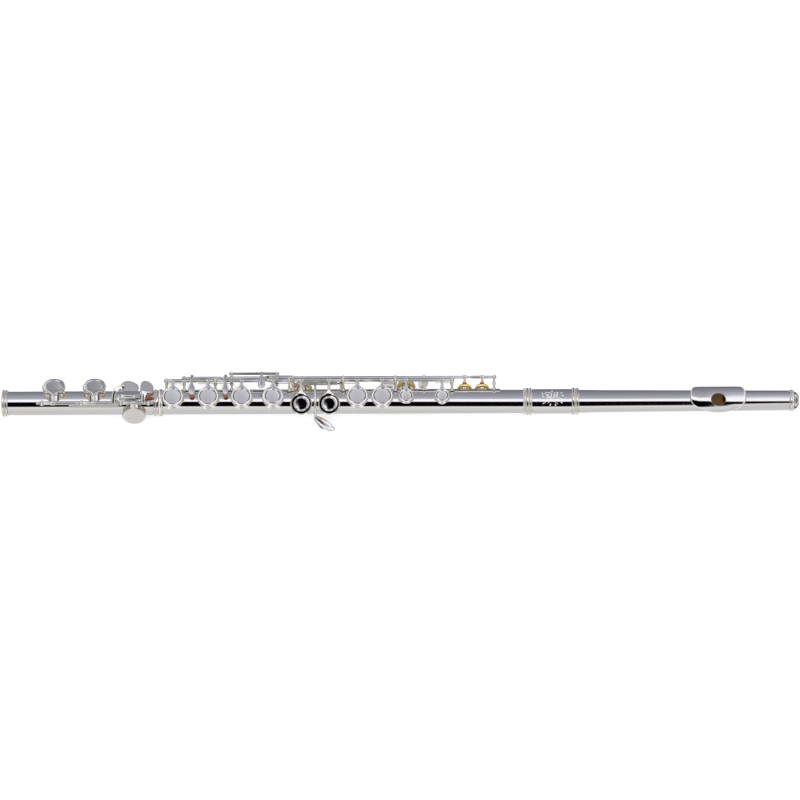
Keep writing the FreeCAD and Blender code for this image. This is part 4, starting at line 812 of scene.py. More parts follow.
def crown():
    x0, x1 = span_x("crown")
    radius = box("crown")[1][2]
    # outside, from the end of the head tube: (x past it, depth below the rim, rounding)
    outside = [(0.05, 0.75, 0.1), (0.35, 0.62, 0.2), (0.7, 0.02, 0.5), (2.1, 0.02, 0.5),
               (2.3, 0.35, 0.2), (2.55, 0.05, 0.4), (3.6, 0.12, 0.5), (4.0, 0.6, 0.2),
               (4.4, 0.72, 0.3), (5.6, 1.5, 1.0), (6.8, 2.75, 1.0), (7.8, 4.2, 1.0)]
    rows = [(x0, 2.1, 0), (x0, 7.95, 0), (HEAD_X1 + 0.05, 7.95, 0)]
    rows += [(HEAD_X1 + x, radius - depth, rounding) for x, depth, rounding in outside]
    rows += [(x1 - 0.2, radius - 5.3, 0.5), (x1, radius - 6.5, 0.8), (x1, 0, 0),
             (HEAD_X1 + 2.2, 0, 0), (HEAD_X1 + 2.2, 2.1, 0)]
    turned_x("crown_cap", fillet(rows), SILVER, "crown_cap", n=128, replaces="crown")


head_wall()
riser()
bore_strip()
lip_plate()
crown()

# ------------------------------------------------------------------ barrel and rings
BARREL_R = 10.3
SLEEVE_STEP_X = 445.05      # where the sleeve's bore steps from wide to narrow
turned_x("barrel_sleeve",
         [(BARREL_X0, 9.92), (BARREL_X0, 10.2), (BARREL_X0 + 0.1, BARREL_R),
          (BARREL_X1, BARREL_R), (BARREL_X1, 9.69), (SLEEVE_STEP_X, 9.69), (SLEEVE_STEP_X, 9.92)],
         SILVER, "body", n=192, replaces="barrel")


def ridged_ring(name, x0, rows, body, replaces=None):
    """Moulded ring. rows: (x from x0, radius)."""
    last = len(rows) - 1
    outline = fillet([(x0 + x, radius, 0.45 if 0 < i < last else 0)
                      for i, (x, radius) in enumerate(rows)], 5)
    turned_x(name, outline, SILVER_WARM, body, n=160, sharp=60, replaces=replaces)


ridged_ring("barrel_ring_a", BARREL_X0, [
    (0, 10.32), (0, 10.95), (0.9, 11.15), (1.5, 10.75), (2.3, 10.75), (2.6, 11.35), (4.6, 11.35),
    (4.9, 10.8), (5.4, 10.8), (5.7, 11.25), (7.1, 11.2), (7.5, 10.6), (7.5, 10.32)],
    "body", "barrel_rings")
ridged_ring("barrel_ring_b", BARREL_X1, [
    (-6.2, 10.32), (-6.2, 10.7), (-5.7, 11.3), (-3.7, 11.35), (-3.4, 10.8), (-2.5, 10.8),
    (-2.2, 11.2), (-0.5, 11.2), (-0.35, 10.9), (0, 10.6), (0, 9.9)], "body")
ridged_ring("foot_ring_a", 0.0, [
    (0.0, 9.92), (0.0, 10.6), (0.4, 11.35), (2.0, 11.4), (2.2, 10.75), (3.0, 10.75),
    (3.2, 11.25), (4.8, 11.2), (5.2, 10.3), (5.2, 9.92)], "foot", "foot_rings")
ridged_ring("foot_ring_b", span_x("foot_socket")[1], [
    (-7.7, 10.42), (-7.7, 10.75), (-7.3, 11.2), (-5.8, 11.2), (-5.4, 10.75), (-3.4, 10.75),
    (-3.1, 11.3), (-1.6, 11.5), (-0.4, 11.35), (0, 10.8), (0, 10.42)], "foot")

# ------------------------------------------------------------------ scroll engraving on the barrel
SCROLL_X = (BARREL_X0 + BARREL_X1) / 2 + 1.0
SCROLL_PHI = -2


def engrave(name, curve, width):
    """Flat ribbon on the barrel. curve rows: (x, phi) from the middle of the engraving."""
    points = smooth_path([(SCROLL_X + x, SCROLL_PHI + phi) for x, phi in curve], 8)
    verts = []
    k = len(points)
    radius = BARREL_R + 0.015
    for i, p in enumerate(points):
        a, b = points[max(i - 1, 0)], points[min(i + 1, k - 1)]
        dx, ds = b[0] - a[0], math.radians(b[1] - a[1]) * BARREL_R
        length = math.hypot(dx, ds) or 1.0
        half = width * (0.35 + 0.65 * math.sin(math.pi * (i + 0.5) / k)) / 2
        for sign in (half, -half):
            x = p[0] - ds / length * sign
            phi = math.radians(p[1]) + dx / length * sign / BARREL_R
            verts.append((x, radius * math.sin(phi), radius * math.cos(phi)))
    faces = [(2 * i, 2 * i + 1, 2 * i + 3, 2 * i + 2) for i in range(k - 1)]
    make(name, verts, faces, ENGRAVE, "body", ID, 80)


def spiral(x, phi, r0, r1, start, turns):
    """Spiral round (x, phi) from radius r0 to r1, starting at an angle in degrees."""
    n = 16
    out = []
    for i in range(n + 1):
        a = math.radians(start) + 2 * math.pi * turns * i / n
        radius = r0 + (r1 - r0) * i / n
        out.append((x + radius * math.cos(a),
                    phi + math.degrees(radius * math.sin(a) / BARREL_R)))
    return out


# (name, spiral, tail points (x, phi), width)
for name, curl, tail, width in (
        ("scroll_a", (-3.2, 17, 0.4, 3.4, 20, 1.35), [(-1.0, 2), (1.8, -14), (4.6, -26)], 0.75),
        ("scroll_b", (3.2, 19, 0.3, 2.7, 160, -1.3), [(0.4, 1), (-2.2, -14), (-4.4, -24)], 0.7),
        ("scroll_c", (-5.6, -8, 0.3, 1.9, 10, 1.2), [(-2.4, -2), (0.2, 8)], 0.55),
        ("scroll_d", (6.4, -4, 0.3, 2.0, 170, -1.2), [(3.0, 2), (0.6, 12)], 0.55)):
    engrave(name, spiral(*curl) + tail, width)

# leaves: (x, phi, length, angle in degrees)
for i, (x, phi, length, angle) in enumerate((
        (-7.4, 20, 2.6, 120), (-6.9, 10, 2.2, 160), (7.2, 24, 2.4, 60), (7.8, 12, 2.2, 20),
        (0.0, 34, 2.6, 90), (-1.6, -24, 2.2, 250), (2.0, -26, 2.2, 290), (-6.5, -18, 2.0, 210),
        (6.8, -17, 2.0, 330))):
    c, s = math.cos(math.radians(angle)), math.sin(math.radians(angle))
    half, bow = length * 0.5, 0.25
    engrave("scroll_leaf_%d" % i,
            [(x, phi),
             (x + c * half - s * bow, phi + math.degrees((s * half + c * bow) / BARREL_R)),
             (x + c * length, phi + math.degrees(s * length / BARREL_R))], 0.9)


# ------------------------------------------------------------------ parts of a key
def below_top(rows, steps=4):
    """Rounded profile from rows of (radius, depth below the cup's top, rounding)."""
    return fillet([(radius, CUP_TOP - depth, rounding) for radius, depth, rounding in rows], steps)


def cup(name, x, r, dish_r, body, place, style="dished", replaces=None):
    """Key cup of radius r: with a satin dish, a flat "ringed" top or a "domed" one."""
    place = place @ Matrix.Translation(Vector((x, 0, 0)))
    d = dish_r
    if style == "domed":
        mat = SILVER_PALE
        top = [(0, 0.10, 0), (r * 0.15, 0.10, 0.5), (r * 0.3, 0.11, 0.5), (r * 0.45, 0.12, 0.8),
               (r * 0.6, 0.14, 0.8), (r * 0.75, 0.20, 0.8), (r - 1.2, 0.32, 0.6),
               (r - 0.15, 0.6, 0.4), (r, 1.25, 0.4)]
    elif style == "ringed":
        # flat ring between a thin rim and a bead round the middle
        mat = SILVER
        top = [(0, 0.66, 0), (d - 0.35, 0.66, 0.1), (d - 0.2, 0.5, 0.15), (d - 0.05, 0.1, 0.2),
               (d + 0.3, 0.0, 0.3), (d + 0.6, 0.12, 0.3), (d + 0.85, 0.46, 0.15),
               (r - 0.85, 0.50, 0.1), (r - 0.5, 0.3, 0.25), (r - 0.02, 1.0, 0.4)]
    else:
        mat = SILVER_KEY
        top = [(0, 0.66, 0), (d - 0.5, 0.62, 0.2), (d - 0.15, 0.66, 0.1), (d - 0.08, 0.38, 0.12),
               (d + 0.55, 0.11, 0.15), (d + 0.8, 0.02, 0.2), (r - 0.6, 0.24, 0.3),
               (r - 0.15, 0.6, 0.4), (r, 1.25, 0.4)]
        dish = [(0, 0.52, 0), (d * 0.35, 0.50, 1.0), (d * 0.7, 0.42, 1.0), (d - 0.55, 0.33, 0.3),
                (d - 0.25, 0.30, 0.1), (d - 0.2, 0.36, 0.05), (d - 0.3, 0.64, 0), (0, 0.65, 0)]
        revolve(name + "_dish", below_top(dish, 3), SILVER_SATIN, body, place, 112, sharp=40)
    drop = CUP_TOP - CUP_BOTTOM
    skirt = [(r, drop - 0.1, 0.1), (r - 0.1, drop, 0.1), (r - 0.38, drop, 0.1),
             (r - 0.45, drop - 0.1, 0.1), (r - 0.45, 0.8, 0.2), (0, 0.8, 0)]
    revolve(name, below_top(top + skirt), mat, body, place, 112, 40, replaces)


def pad(name, key, cup_r, body, place, replaces):
    """Soft pad under a cup, pressed in over the hole's edge and slightly puckered."""
    x, hole, r = HOLE_X[key], HOLE_R[key], cup_r - PAD_INSET
    # (radius, height above the pad's face, rounding)
    face = [(0, -0.02, 0), (hole - 0.9, 0.02, 0.5), (hole + 0.1, 0.10, 0.4), (r - 1.1, 0.02, 0.6),
            (r - 0.1, 0.35, 0.4), (r + 0.25, 0.62, 0.3), (r, 0.85, 0.2)]
    rows = [(radius, PAD_Z + rise, rounding) for radius, rise, rounding in face]
    rows += [(r, CUP_TOP - 0.85, 0), (0, CUP_TOP - 0.85, 0)]
    piece = revolve(name, fillet(rows), PAD, body, place @ Matrix.Translation(Vector((x, 0, 0))),
                    96, 60, replaces)
    for v in piece.data.vertices:
        a = math.atan2(v.co.y * 1000, v.co.x * 1000 - x)
        v.co.z += 0.00002 * math.sin(a * 37 + x) + 0.00001 * math.sin(a * 61 + 2 * x)


def hinge(name, node, rod, body, radius=HINGE_R, x0=-INF, x1=INF, mat=SILVER_ROD_SHADED):
    """Hinge tube, as long as the one found in the CAD node between x0 and x1."""
    a, b = hinge_span(node, rod, radius, x0, x1)
    rod_x(name, radius, a + 0.03, b - 0.03, rod, mat, body, edge=0.16)


def saddle(name, x, rod, body, hinge_r, half=1.7):
    """Short sleeve on the hinge tube where an arm joins it."""
    rod_x(name, hinge_r + 0.28, x - half, x + half, rod, SILVER_KEY, body, edge=0.28)


def local_rod(rod, phi):
    """Rod position in the frame whose +Z faces phi."""
    a = math.atan2(rod[0], rod[1]) - math.radians(phi)
    return math.hypot(*rod) * math.sin(a), math.hypot(*rod) * math.cos(a)


def arm(name, x, rod, r, body, place, wide=0.5, base=2.1):
    """Pointed arm: thick at the hinge tube, spreading onto the shoulder of a cup of radius r.

    wide: spread on the cup as a share of r. base: width at the hinge tube.
    """
    y, z = rod
    side = 1 if y > 0 else -1
    out = abs(y)
    z1 = z + 0.95
    thick = 1.6
    strap(name, at_x(x, [
        (side * (out + 0.35), z + 0.2, base, thick * 1.2),
        (side * (out - 0.25), z1, base, thick * 1.1),
        (side * (r + (out - r) * 0.62), z1 + (CUP_TOP - 0.75 - z1) * 0.62, base, thick),
        (side * (r + (out - r) * 0.28), z1 + (CUP_TOP - 0.62 - z1) * 0.92, base * 1.25,
         thick * 0.88),
        (side * (r - 0.1), CUP_TOP - 0.58, r * wide * 1.25, 1.15),
        (side * (r - 1.0), CUP_TOP - 0.50, r * wide * 1.75, 1.0),
        (side * (r - 2.0), CUP_TOP - 0.42, r * wide * 2.1, 0.75)]),
        SILVER_KEY, body, place, power=2.6)


def key_head(tag, key, body, r, dish_r, rod, node=None, style="dished", **arm_shape):
    """Cup, pad and arm of the key over one tone hole."""
    place = rest_swing(body) @ facing(PHI[key])
    x = HOLE_X[key]
    cup(tag + "_cup", x, r, dish_r, body, place, style, node or body + "_key")
    pad(tag + "_padpiece", key, r, body, place, key + "_pad")
    arm(tag + "_arm", x, local_rod(rod, PHI[key]), r, body, place, **arm_shape)


# ------------------------------------------------------------------ keys on the main rod
# (name, key, dish radius, x that parts the collar from the hinge tube)
for tag, key, dish_r, split in (("d", "d", 6.7, -INF), ("e", "e", 6.7, -INF),
                                ("f", "f", 6.7, -INF), ("a", "a", 6.7, -INF),
                                ("fs", "f_sharp", 5.9, 200), ("as", "a_sharp", 6.7, 290)):
    key_head(tag, key, key, CUP_R, dish_r, MAIN, wide=0.52, base=2.3)
    saddle(tag + "_saddle", HOLE_X[key], MAIN, key, HINGE_R)
    hinge(tag + "_tube", key + "_key", MAIN, key, x0=split)
    if split > 0:
        hinge(tag + "_collar", key + "_key", MAIN, key, x1=split)

# small clutch tabs, closed position: (x0, x1, y0, y1, z0, z1)
for tag, body, tabs in (
        ("d", "d", [(152.6, 154.8, 17.0, 18.6, 10.9, 11.7), (152.6, 156.8, 17.8, 19.0, 10.9, 11.7)]),
        ("e", "e", [(159.1, 161.5, 17.0, 18.6, 10.9, 11.7), (157.1, 161.5, 17.8, 19.0, 10.9, 11.7)]),
        ("f", "f", [(220.8, 223.6, 17.0, 19.0, 10.9, 12.4)]),
        ("fs", "f_sharp", [(222.6, 226.0, 16.9, 19.0, 12.45, 13.0),
                           (155.2, 158.7, 16.6, 19.0, 12.45, 13.2)]),
        ("as", "a_sharp", [(244.8, 247.6, 16.6, 19.4, 12.3, 13.6),
                           (223.4, 247.6, 18.2, 19.4, 13.3, 14.7)])):
    for i, (x0, x1, y0, y1, z0, z1) in enumerate(tabs):
        plate("%s_tab%d" % (tag, i), rectangle(x0, x1, y0, y1), z0, z1, SILVER_KEY, body,
              rest_swing(body), edge=0.12, rounds=2)


def index_keys():
    """Index finger plate and the small C sharp cup, on one hinge tube."""
    place = rest_swing("index")
    plate_xs = [p[0] for p in cad_points("index_key") if p[1] < -4 and p[0] < 355]
    for tag, x, node in (("index", sum(plate_xs) / len(plate_xs), "index_key"),
                         ("csharp", HOLE_X["index"], None)):
        cup(tag + "_cup", x, INDEX_CUP_R, 4.4, "index", place, replaces=node)
        arm(tag + "_arm", x, MAIN, INDEX_CUP_R, "index", place)
        saddle(tag + "_saddle", x, MAIN, "index", HINGE_R)
    pad("csharp_padpiece", "index", INDEX_CUP_R, "index", place, "index_pad")
    hinge("index_tube", "index_key", MAIN, "index")


def g_keys():
    """Offset pair of G cups on one hinge tube."""
    place = rest_swing("g") @ facing(PHI["g_low"])
    # (y, z, width, thickness)
    arm_rows = [(19.9, 4.4, 2.3, 2.0), (19.6, 6.6, 2.3, 1.8), (18.0, 9.4, 2.3, 1.7),
                (15.0, 12.4, 2.4, 1.6), (11.6, 14.2, 3.0, 1.4), (9.1, 14.95, 6.2, 1.15),
                (8.2, 15.05, 8.4, 1.0), (7.2, 15.13, 9.6, 0.75)]
    for key, cup_node, pad_node in (("g_low", "g_keys", "g_pads"), ("g_up", None, None)):
        x = HOLE_X[key]
        cup(key + "_cup", x, CUP_R, 5.3, "g", place, "ringed", cup_node)
        pad(key + "_padpiece", key, CUP_R, "g", place, pad_node)
        strap(key + "_arm", at_x(x, arm_rows), SILVER_KEY, "g", place, power=2.6)
        saddle(key + "_saddle", x, MAIN, "g", HINGE_R)
    hinge("g_tube", "g_keys", MAIN, "g")


index_keys()
g_keys()


# ------------------------------------------------------------------ G sharp key
def g_sharp_lever():
    """Bar that curves over the tube from the cup's side to the -Y side."""
    x = 264.9
    path = []
    for phi in (60, 52, 44, 34, 20, 4, -14, -30, -44, -56, -66):
        radius = 13.5 if phi < 50 else 14.4
        a = math.radians(phi)
        path.append((x, radius * math.sin(a), radius * math.cos(a), 2.1, 1.3))
    path += [(x + 0.1, -13.0, 3.2, 2.3, 1.3), (x + 0.8, -14.6, 3.3, 3.0, 1.2)]
    strap("gs_lever", path, SILVER_KEY, "g_sharp", power=2.6)


def g_sharp_leaf():
    """Willow-leaf touch: stepped along the middle, edges thin."""
    # (x, y, width)
    spine = smooth_path([(264.6, -11.8, 0.0), (265.4, -14.2, 2.6), (268.2, -17.0, 4.6),
                         (272.4, -20.2, 5.6), (276.6, -22.8, 4.4), (280.0, -24.3, 2.2),
                         (282.0, -24.9, 0.15)], 7)
    across = [(j / 32) * 2 - 1 for j in range(33)]
    verts = []
    k = len(spine)
    for i, p in enumerate(spine):
        a, b = spine[max(i - 1, 0)], spine[min(i + 1, k - 1)]
        tangent = Vector((b[0] - a[0], b[1] - a[1])).normalized()
        normal = Vector((-tangent.y, tangent.x))
        width = max(p[2], 0.1)
        s = i / (k - 1)
        middle_z = 3.6 - 2.4 * s ** 1.4
        for side in (1, -1):
            for u in across[::side]:
                q = Vector((p[0], p[1])) + normal * (u * width * 0.72)
                half = (0.9 * math.sqrt(max(1 - u * u, 0.0)) + 0.12) / 2
                arch = 0.75 * max(-1.0, min(1.0, u / 0.27)) * min(1.0, 2.5 * s)
                arch += 0.34 * math.tanh((u + 0.84) / 0.12)
                verts.append((q.x, q.y, middle_z + arch + half * side))
    n = len(across) * 2
    faces = bands(k, n) + [tuple(range(n)), tuple(range((k - 1) * n, k * n))[::-1]]
    make("gs_leaf", verts, faces, SILVER, "g_sharp", ID, 60)


key_head("gs", "g_sharp", "g_sharp", CUP_R, 6.2, G_SHARP)
hinge("gs_tube", "g_sharp_key", G_SHARP, "g_sharp", SMALL_HINGE_R)
g_sharp_lever()
g_sharp_leaf()


# ------------------------------------------------------------------ thumb keys
def thumb_touch(tag, body, outline, neck_x, neck, replaces=None):
    """Slightly domed touch and the neck that carries it. neck: (y, z, width, thickness)."""
    place = rest_swing(body) @ facing(PHI["thumb"])
    plate(tag + "_touch", outline, 18.3, 19.3, SILVER_KEY, body, place, crown=0.25,
          replaces=replaces)
    strap(tag + "_neck", at_x(neck_x, neck), SILVER_KEY, body, place)


key_head("thumb", "thumb", "thumb_b", THUMB_CUP_R, 5.4, THUMB)
hinge("thumb_tube", "thumb_b_key", THUMB, "thumb_b", SMALL_HINGE_R)
thumb_touch("thumb", "thumb_b",
            [(320.4, -4.6), (322.4, -5.6), (329.4, -5.6), (331.2, -4.0),
             (331.2, 4.6), (329.0, 6.6), (322.6, 6.6), (320.4, 4.8)],
            325.8, [(12.2, 13.0, 3.0, 1.5), (11.9, 15.0, 3.2, 1.4), (9.0, 17.6, 4.0, 1.2),
                    (5.6, 18.7, 5.0, 0.9)])
hinge("flat_tube", "thumb_bflat_lever", THUMB, "thumb_bflat", SMALL_HINGE_R)
thumb_touch("flat", "thumb_bflat",
            [(351.8, -2.4), (353.4, -5.6), (358.4, -6.6), (360.6, -4.0),
             (360.4, 2.2), (357.6, 6.4), (353.8, 6.4), (351.8, 3.0)],
            355.5, [(12.2, 13.0, 2.6, 1.5), (11.9, 15.0, 2.7, 1.4), (9.0, 17.6, 3.2, 1.2),
                    (5.4, 18.7, 3.6, 0.9)], "thumb_bflat_lever")


# ------------------------------------------------------------------ trill keys
def trill_key(tag, key, touch_x, half):
    """Small cup and pad, its arm, the finger touch over the tube and the cork under it.

    half: half the greatest width of the touch.
    """
    x = HOLE_X[key]
    place = facing(PHI[key])
    here = place @ Matrix.Translation(Vector((x, 0, 0)))
    # (radius, height above the pad's face, rounding)
    cup_rows = [(0, 2.9, 0), (1.6, 2.86, 0.4), (2.8, 2.7, 0.4), (3.9, 2.5, 0.4),
                (4.7, 2.28, 0.4), (5.2, 2.05, 0.3), (5.3, 1.85, 0.15), (5.1, 1.78, 0.1),
                (4.95, 1.85, 0.1), (4.9, 2.0, 0.1), (0, 2.1, 0)]
    pad_rows = [(0, 0, 0), (4.0, 0, 0.3), (5.15, 0.02, 0.1), (5.3, -0.3, 0.2),
                (5.65, -0.55, 0.3), (6.02, -0.35, 0.3), (6.18, 0.2, 0.4), (5.7, 1.1, 0.3),
                (4.95, 1.92, 0), (0, 1.95, 0)]
    revolve(tag + "_cup", fillet([(r, PAD_Z + z, q) for r, z, q in cup_rows], 3),
            SILVER_KEY, key, here, 72, 40, key + "_key")
    revolve(tag + "_padpiece", fillet([(r, PAD_Z + z, q) for r, z, q in pad_rows]),
            PAD, key, here, 72, 60, key + "_pad")
    # (y, z, width, thickness)
    strap(tag + "_arm", at_x(x, [
        (-10.6, 17.2, 2.1, 1.7), (-10.7, 16.4, 2.1, 1.5), (-8.6, 15.6, 2.2, 1.3),
        (-5.0, 15.25, 3.4, 1.0), (-2.0, 15.2, 4.4, 0.8), (0.9, 15.15, 2.6, 0.6)]),
        SILVER_KEY, key, place, power=2.6)
    saddle(tag + "_saddle", x, TRILL, key, SMALL_HINGE_R)
    strap(tag + "_bridge", at_x(touch_x, [
        (19.9, 7.9, 2.2, 1.9), (20.9, 9.4, 2.2, 1.5), (20.5, 12.1, 2.3, 1.4),
        (18.6, 14.0, 2.2, 1.4), (15.6, 14.95, 2.0, 1.3), (12.4, 15.35, half * 0.9, 1.2),
        (9.6, 15.65, half * 1.65, 1.15), (7.2, 15.9, half * 2.0, 1.1),
        (4.6, 16.05, half * 1.6, 0.95), (2.7, 15.95, half * 0.8, 0.7)]),
        SILVER_TOUCH_SHADED, key, steps=8, ring=36, power=4.5)
    saddle(tag + "_saddle2", touch_x, TRILL, key, SMALL_HINGE_R, 1.5)
    lo, hi = box(key + "_bumper")
    centre = Vector(((lo[0] + hi[0]) / 2, (lo[1] + hi[1]) / 2, 0))
    radius, top = (hi[0] - lo[0]) / 2, hi[2] + 0.35
    revolve(tag + "_bumper",
            fillet([(0, lo[2], 0), (radius, lo[2], 0.35), (radius, top, 0.1), (0, top, 0)]),
            CORK, key, Matrix.Translation(centre), 48, 50, key + "_bumper")


trill_key("dt", "d_trill", touch_x=189.2, half=2.7)
trill_key("dst", "d_sharp_trill", touch_x=160.8, half=3.0)
hinge("dt_tube", "d_trill_key", TRILL, "d_trill", SMALL_HINGE_R)
hinge("dst_tube_a", "d_sharp_trill_key", TRILL, "d_sharp_trill", SMALL_HINGE_R, x1=300)
hinge("dst_tube_b", "d_sharp_trill_key", TRILL, "d_sharp_trill", SMALL_HINGE_R, x0=300)

# ------------------------------------------------------------------ side B flat lever
hinge("side_tube", "side_bflat_lever", SIDE, "side_bflat", SIDE_HINGE_R, mat=SILVER_THIN_ROD_SHADED)
strap("side_touch", at_x(219.7, [
    (22.9, 9.9, 2.2, 1.6), (23.1, 11.6, 2.2, 1.4), (22.0, 13.8, 2.3, 1.3), (19.6, 14.9, 2.2, 1.2),
    (16.8, 15.6, 2.6, 1.15), (14.4, 15.95, 4.6, 1.1), (12.0, 16.2, 6.2, 1.1),
    (9.6, 16.4, 5.2, 1.0), (8.0, 16.4, 2.4, 0.7)]),
    SILVER_TOUCH_SHADED, "side_bflat", steps=8, ring=28, power=2.3, replaces="side_bflat_lever")
strap("side_finger", at_x(230.2, [(22.8, 9.8, 1.3, 1.2), (22.4, 12.4, 1.2, 1.1),
                                  (21.1, 14.9, 1.2, 0.8)]), SILVER_KEY, "side_bflat")

# ------------------------------------------------------------------ foot keys
for tag, key, body, style in (("lc", "low_c", "low_c", "dished"),
                              ("lcs", "low_c_sharp", "low_c_sharp", "dished"),
                              ("ds", "d_sharp", "low_d_sharp", "domed")):
    key_head(tag, key, body, FOOT_CUP_R, 6.6, FOOT, key + "_key", style, wide=0.48, base=2.3)
    saddle(tag + "_saddle", HOLE_X[key], FOOT, body, HINGE_R)
hinge("lc_tube", "low_c_key", FOOT, "low_c", x1=90)
hinge("lc_collar", "low_c_key", FOOT, "low_c", x0=90)
hinge("lcs_tube", "low_c_sharp_key", FOOT, "low_c_sharp")
hinge("ds_tube", "d_sharp_key", FOOT, "low_d_sharp")

# the little finger touches are laid out in a frame that faces the foot rod
FOOT_ROD_PHI = -15
FOOT_FRAME = facing(FOOT_ROD_PHI)


def touch_plate(name, outline, mat, body, place):
    """Little finger touch: eases up to its crest, then slopes down towards +Y."""
    rise_y, crest_y = 5.6, 8.6
    rise_z, crest_z = 0.8, 1.2
    fall = 0.382
    piece = plate(name, outline, 19.0, 20.1, mat, body, place, edge=0.4)
    inverse = place.inverted()
    for v in piece.data.vertices:
        q = inverse @ (v.co * 1000)
        if q.y < crest_y:
            t = (q.y - rise_y) / (crest_y - rise_y)
            q.z += rise_z + (crest_z - rise_z) * t * t * (3 - 2 * t)
        else:
            q.z += crest_z - (q.y - crest_y) * fall
        v.co = (place @ q) * 0.001


def c_roller():
    """Roller beside the C sharp touch, on a pin between two ears."""
    place = rest_swing("low_c") @ FOOT_FRAME
    axle = (5.7, 19.9)
    strap("roller_lever", [(98.6, 0.8, 20.4, 1.9, 1.3), (99.0, 2.6, 20.6, 2.0, 1.1),
                           (99.8, 5.0, 19.6, 2.2, 1.1), (100.7, 5.9, 18.3, 2.4, 1.1)],
          SILVER_KEY, "low_c", place)
    plate("roller_bed", rectangle(100.4, 115.4, 4.6, 6.8), 17.0, 17.8, SILVER_KEY, "low_c",
          place, edge=0.25, rounds=2)
    # the ears stand across X: their outline is (-z, y)
    for i, x in enumerate((100.4, 114.4)):
        plate("roller_ear%d" % i, [(-20.9, 4.5), (-20.9, 6.9), (-17.1, 6.9), (-17.1, 4.5)],
              x, x + 1.0, SILVER_KEY, "low_c", place @ along_x(), edge=0.2, rounds=2)
    rod_x("roller_pin", 0.5, 100.2, 115.6, axle, STEEL, "low_c", place)
    rod_x("roller_drum", 1.9, 101.8, 114.0, axle, SILVER, "roller", place, edge=0.5, n=64,
          replaces="c_roller")


def c_sharp_touch():
    place = rest_swing("low_c_sharp") @ FOOT_FRAME
    touch_plate("lcs_touch", [(102.4, 10.2), (106.0, 9.6), (115.6, 9.6), (116.9, 11.8),
                              (116.4, 15.0), (113.0, 17.2), (108.6, 18.4), (103.8, 18.0),
                              (101.4, 15.0)], SILVER_DEEP_SHADED, "low_c_sharp", place)
    strap("lcs_neck", [(94.8, 0.4, 20.3, 3.6, 1.5), (95.0, 2.6, 20.5, 3.5, 1.3),
                       (95.3, 6.0, 20.7, 3.4, 1.2), (96.4, 9.6, 20.5, 3.6, 1.15),
                       (99.0, 12.0, 19.9, 4.2, 1.1), (102.6, 13.0, 19.6, 5.0, 1.0),
                       (104.6, 13.2, 19.5, 4.4, 0.8)], SILVER_WARM, "low_c_sharp", place)


def d_sharp_touch():
    touch_plate("ds_touch", [(118.2, 7.0), (123.4, 6.4), (128.0, 8.2), (129.4, 11.4),
                             (128.6, 15.2), (125.2, 18.0), (121.0, 18.8), (118.2, 17.2),
                             (117.6, 12.0)], SILVER_TOUCH_SHADED, "low_d_sharp", FOOT_FRAME)
    strap("ds_neck", [(120.4, 0.8, 20.5, 3.2, 1.4), (120.4, 3.4, 20.8, 3.2, 1.3),
                      (120.8, 6.4, 20.9, 4.4, 1.2), (121.6, 9.6, 20.7, 6.4, 0.9)],
          SILVER_KEY, "low_d_sharp", FOOT_FRAME)
    plate("ds_cork", [(119.6, 3.8), (123.2, 3.4), (128.6, 6.2), (129.2, 7.8), (127.6, 9.0),
                      (123.0, 8.2), (119.6, 7.2)], 14.7, 19.6, CORK, "low_d_sharp", FOOT_FRAME,
          edge=0.35, rounds=2, replaces="d_sharp_bumper")


c_roller()
c_sharp_touch()
d_sharp_touch()

# ------------------------------------------------------------------ posts
POST_SEAT = 10.9        # distance of a post's foot from the axis of the flute
HEAD_HALF = 1.4         # half the thickness of a post's head along X
MAIN_HEAD_R = 2.2
SMALL_HEAD_R = 2.0
SIDE_HEAD_R = 1.75


def post(name, x, heads, phi, body, replaces=None):
    """Turned post: flared foot, waisted stem, flattened head for each (rod, head radius)."""
    a = math.radians(phi)
    last = Vector((x, POST_SEAT * math.sin(a), POST_SEAT * math.cos(a)))
    for i, (rod, r) in enumerate(heads):
        tip = Vector((x, *rod))
        way = tip - last
        length = way.length
        place = Matrix.Translation(last) @ facing(math.degrees(math.atan2(way.y, way.z)))
        # (radius, height, rounding)
        if i == 0:
            stem = [(0, -0.5, 0), (2.15, -0.5, 0.2), (2.15, 0.25, 0.3), (1.75, 0.55, 0.3),
                    (1.35, 0.95, 0.3), (1.0, 1.7, 0.5), (0.86, length * 0.55, 1.0),
                    (0.95, length - r * 0.9, 0.4), (1.2, length - r * 0.72, 0.2),
                    (0, length - r * 0.5, 0)]
        else:
            stem = [(0, 0.5, 0), (1.0, 0.6, 0.2), (0.8, length * 0.5, 0.3),
                    (0.95, length - r * 0.6, 0.3), (0, length - 0.4, 0.3)]
        revolve("%s_stem%d" % (name, i), fillet(stem, 3), SILVER_WARM, body, place, 40,
                replaces=replaces if i == 0 else None)
        heights = [HEAD_HALF * math.sin(math.radians(q)) for q in range(-90, 91, 12)]
        arc = [(math.sqrt(r * r - h * h), h) for h in heights]
        face_r = arc[0][0] - 0.1
        head = [(0, -HEAD_HALF), (face_r, -HEAD_HALF), *arc[1:-1],
                (face_r, HEAD_HALF), (0, HEAD_HALF)]
        revolve("%s_head%d" % (name, i), head, SILVER_WARM, body, along_x(*tip), 56, sharp=45)
        last = tip


main_xs = clusters("body_posts", MAIN, 2.25)
trill_xs = clusters("body_posts", TRILL, 2.05)
lever_x0, lever_x1 = span_x("side_bflat_lever")
side_xs = [x for x in clusters("body_posts", SIDE, 1.8) if lever_x0 - 3.5 < x < lever_x1 + 3.5]
FOOT_POST_XS = [34.8, 67.9, 101.5, 124.5]

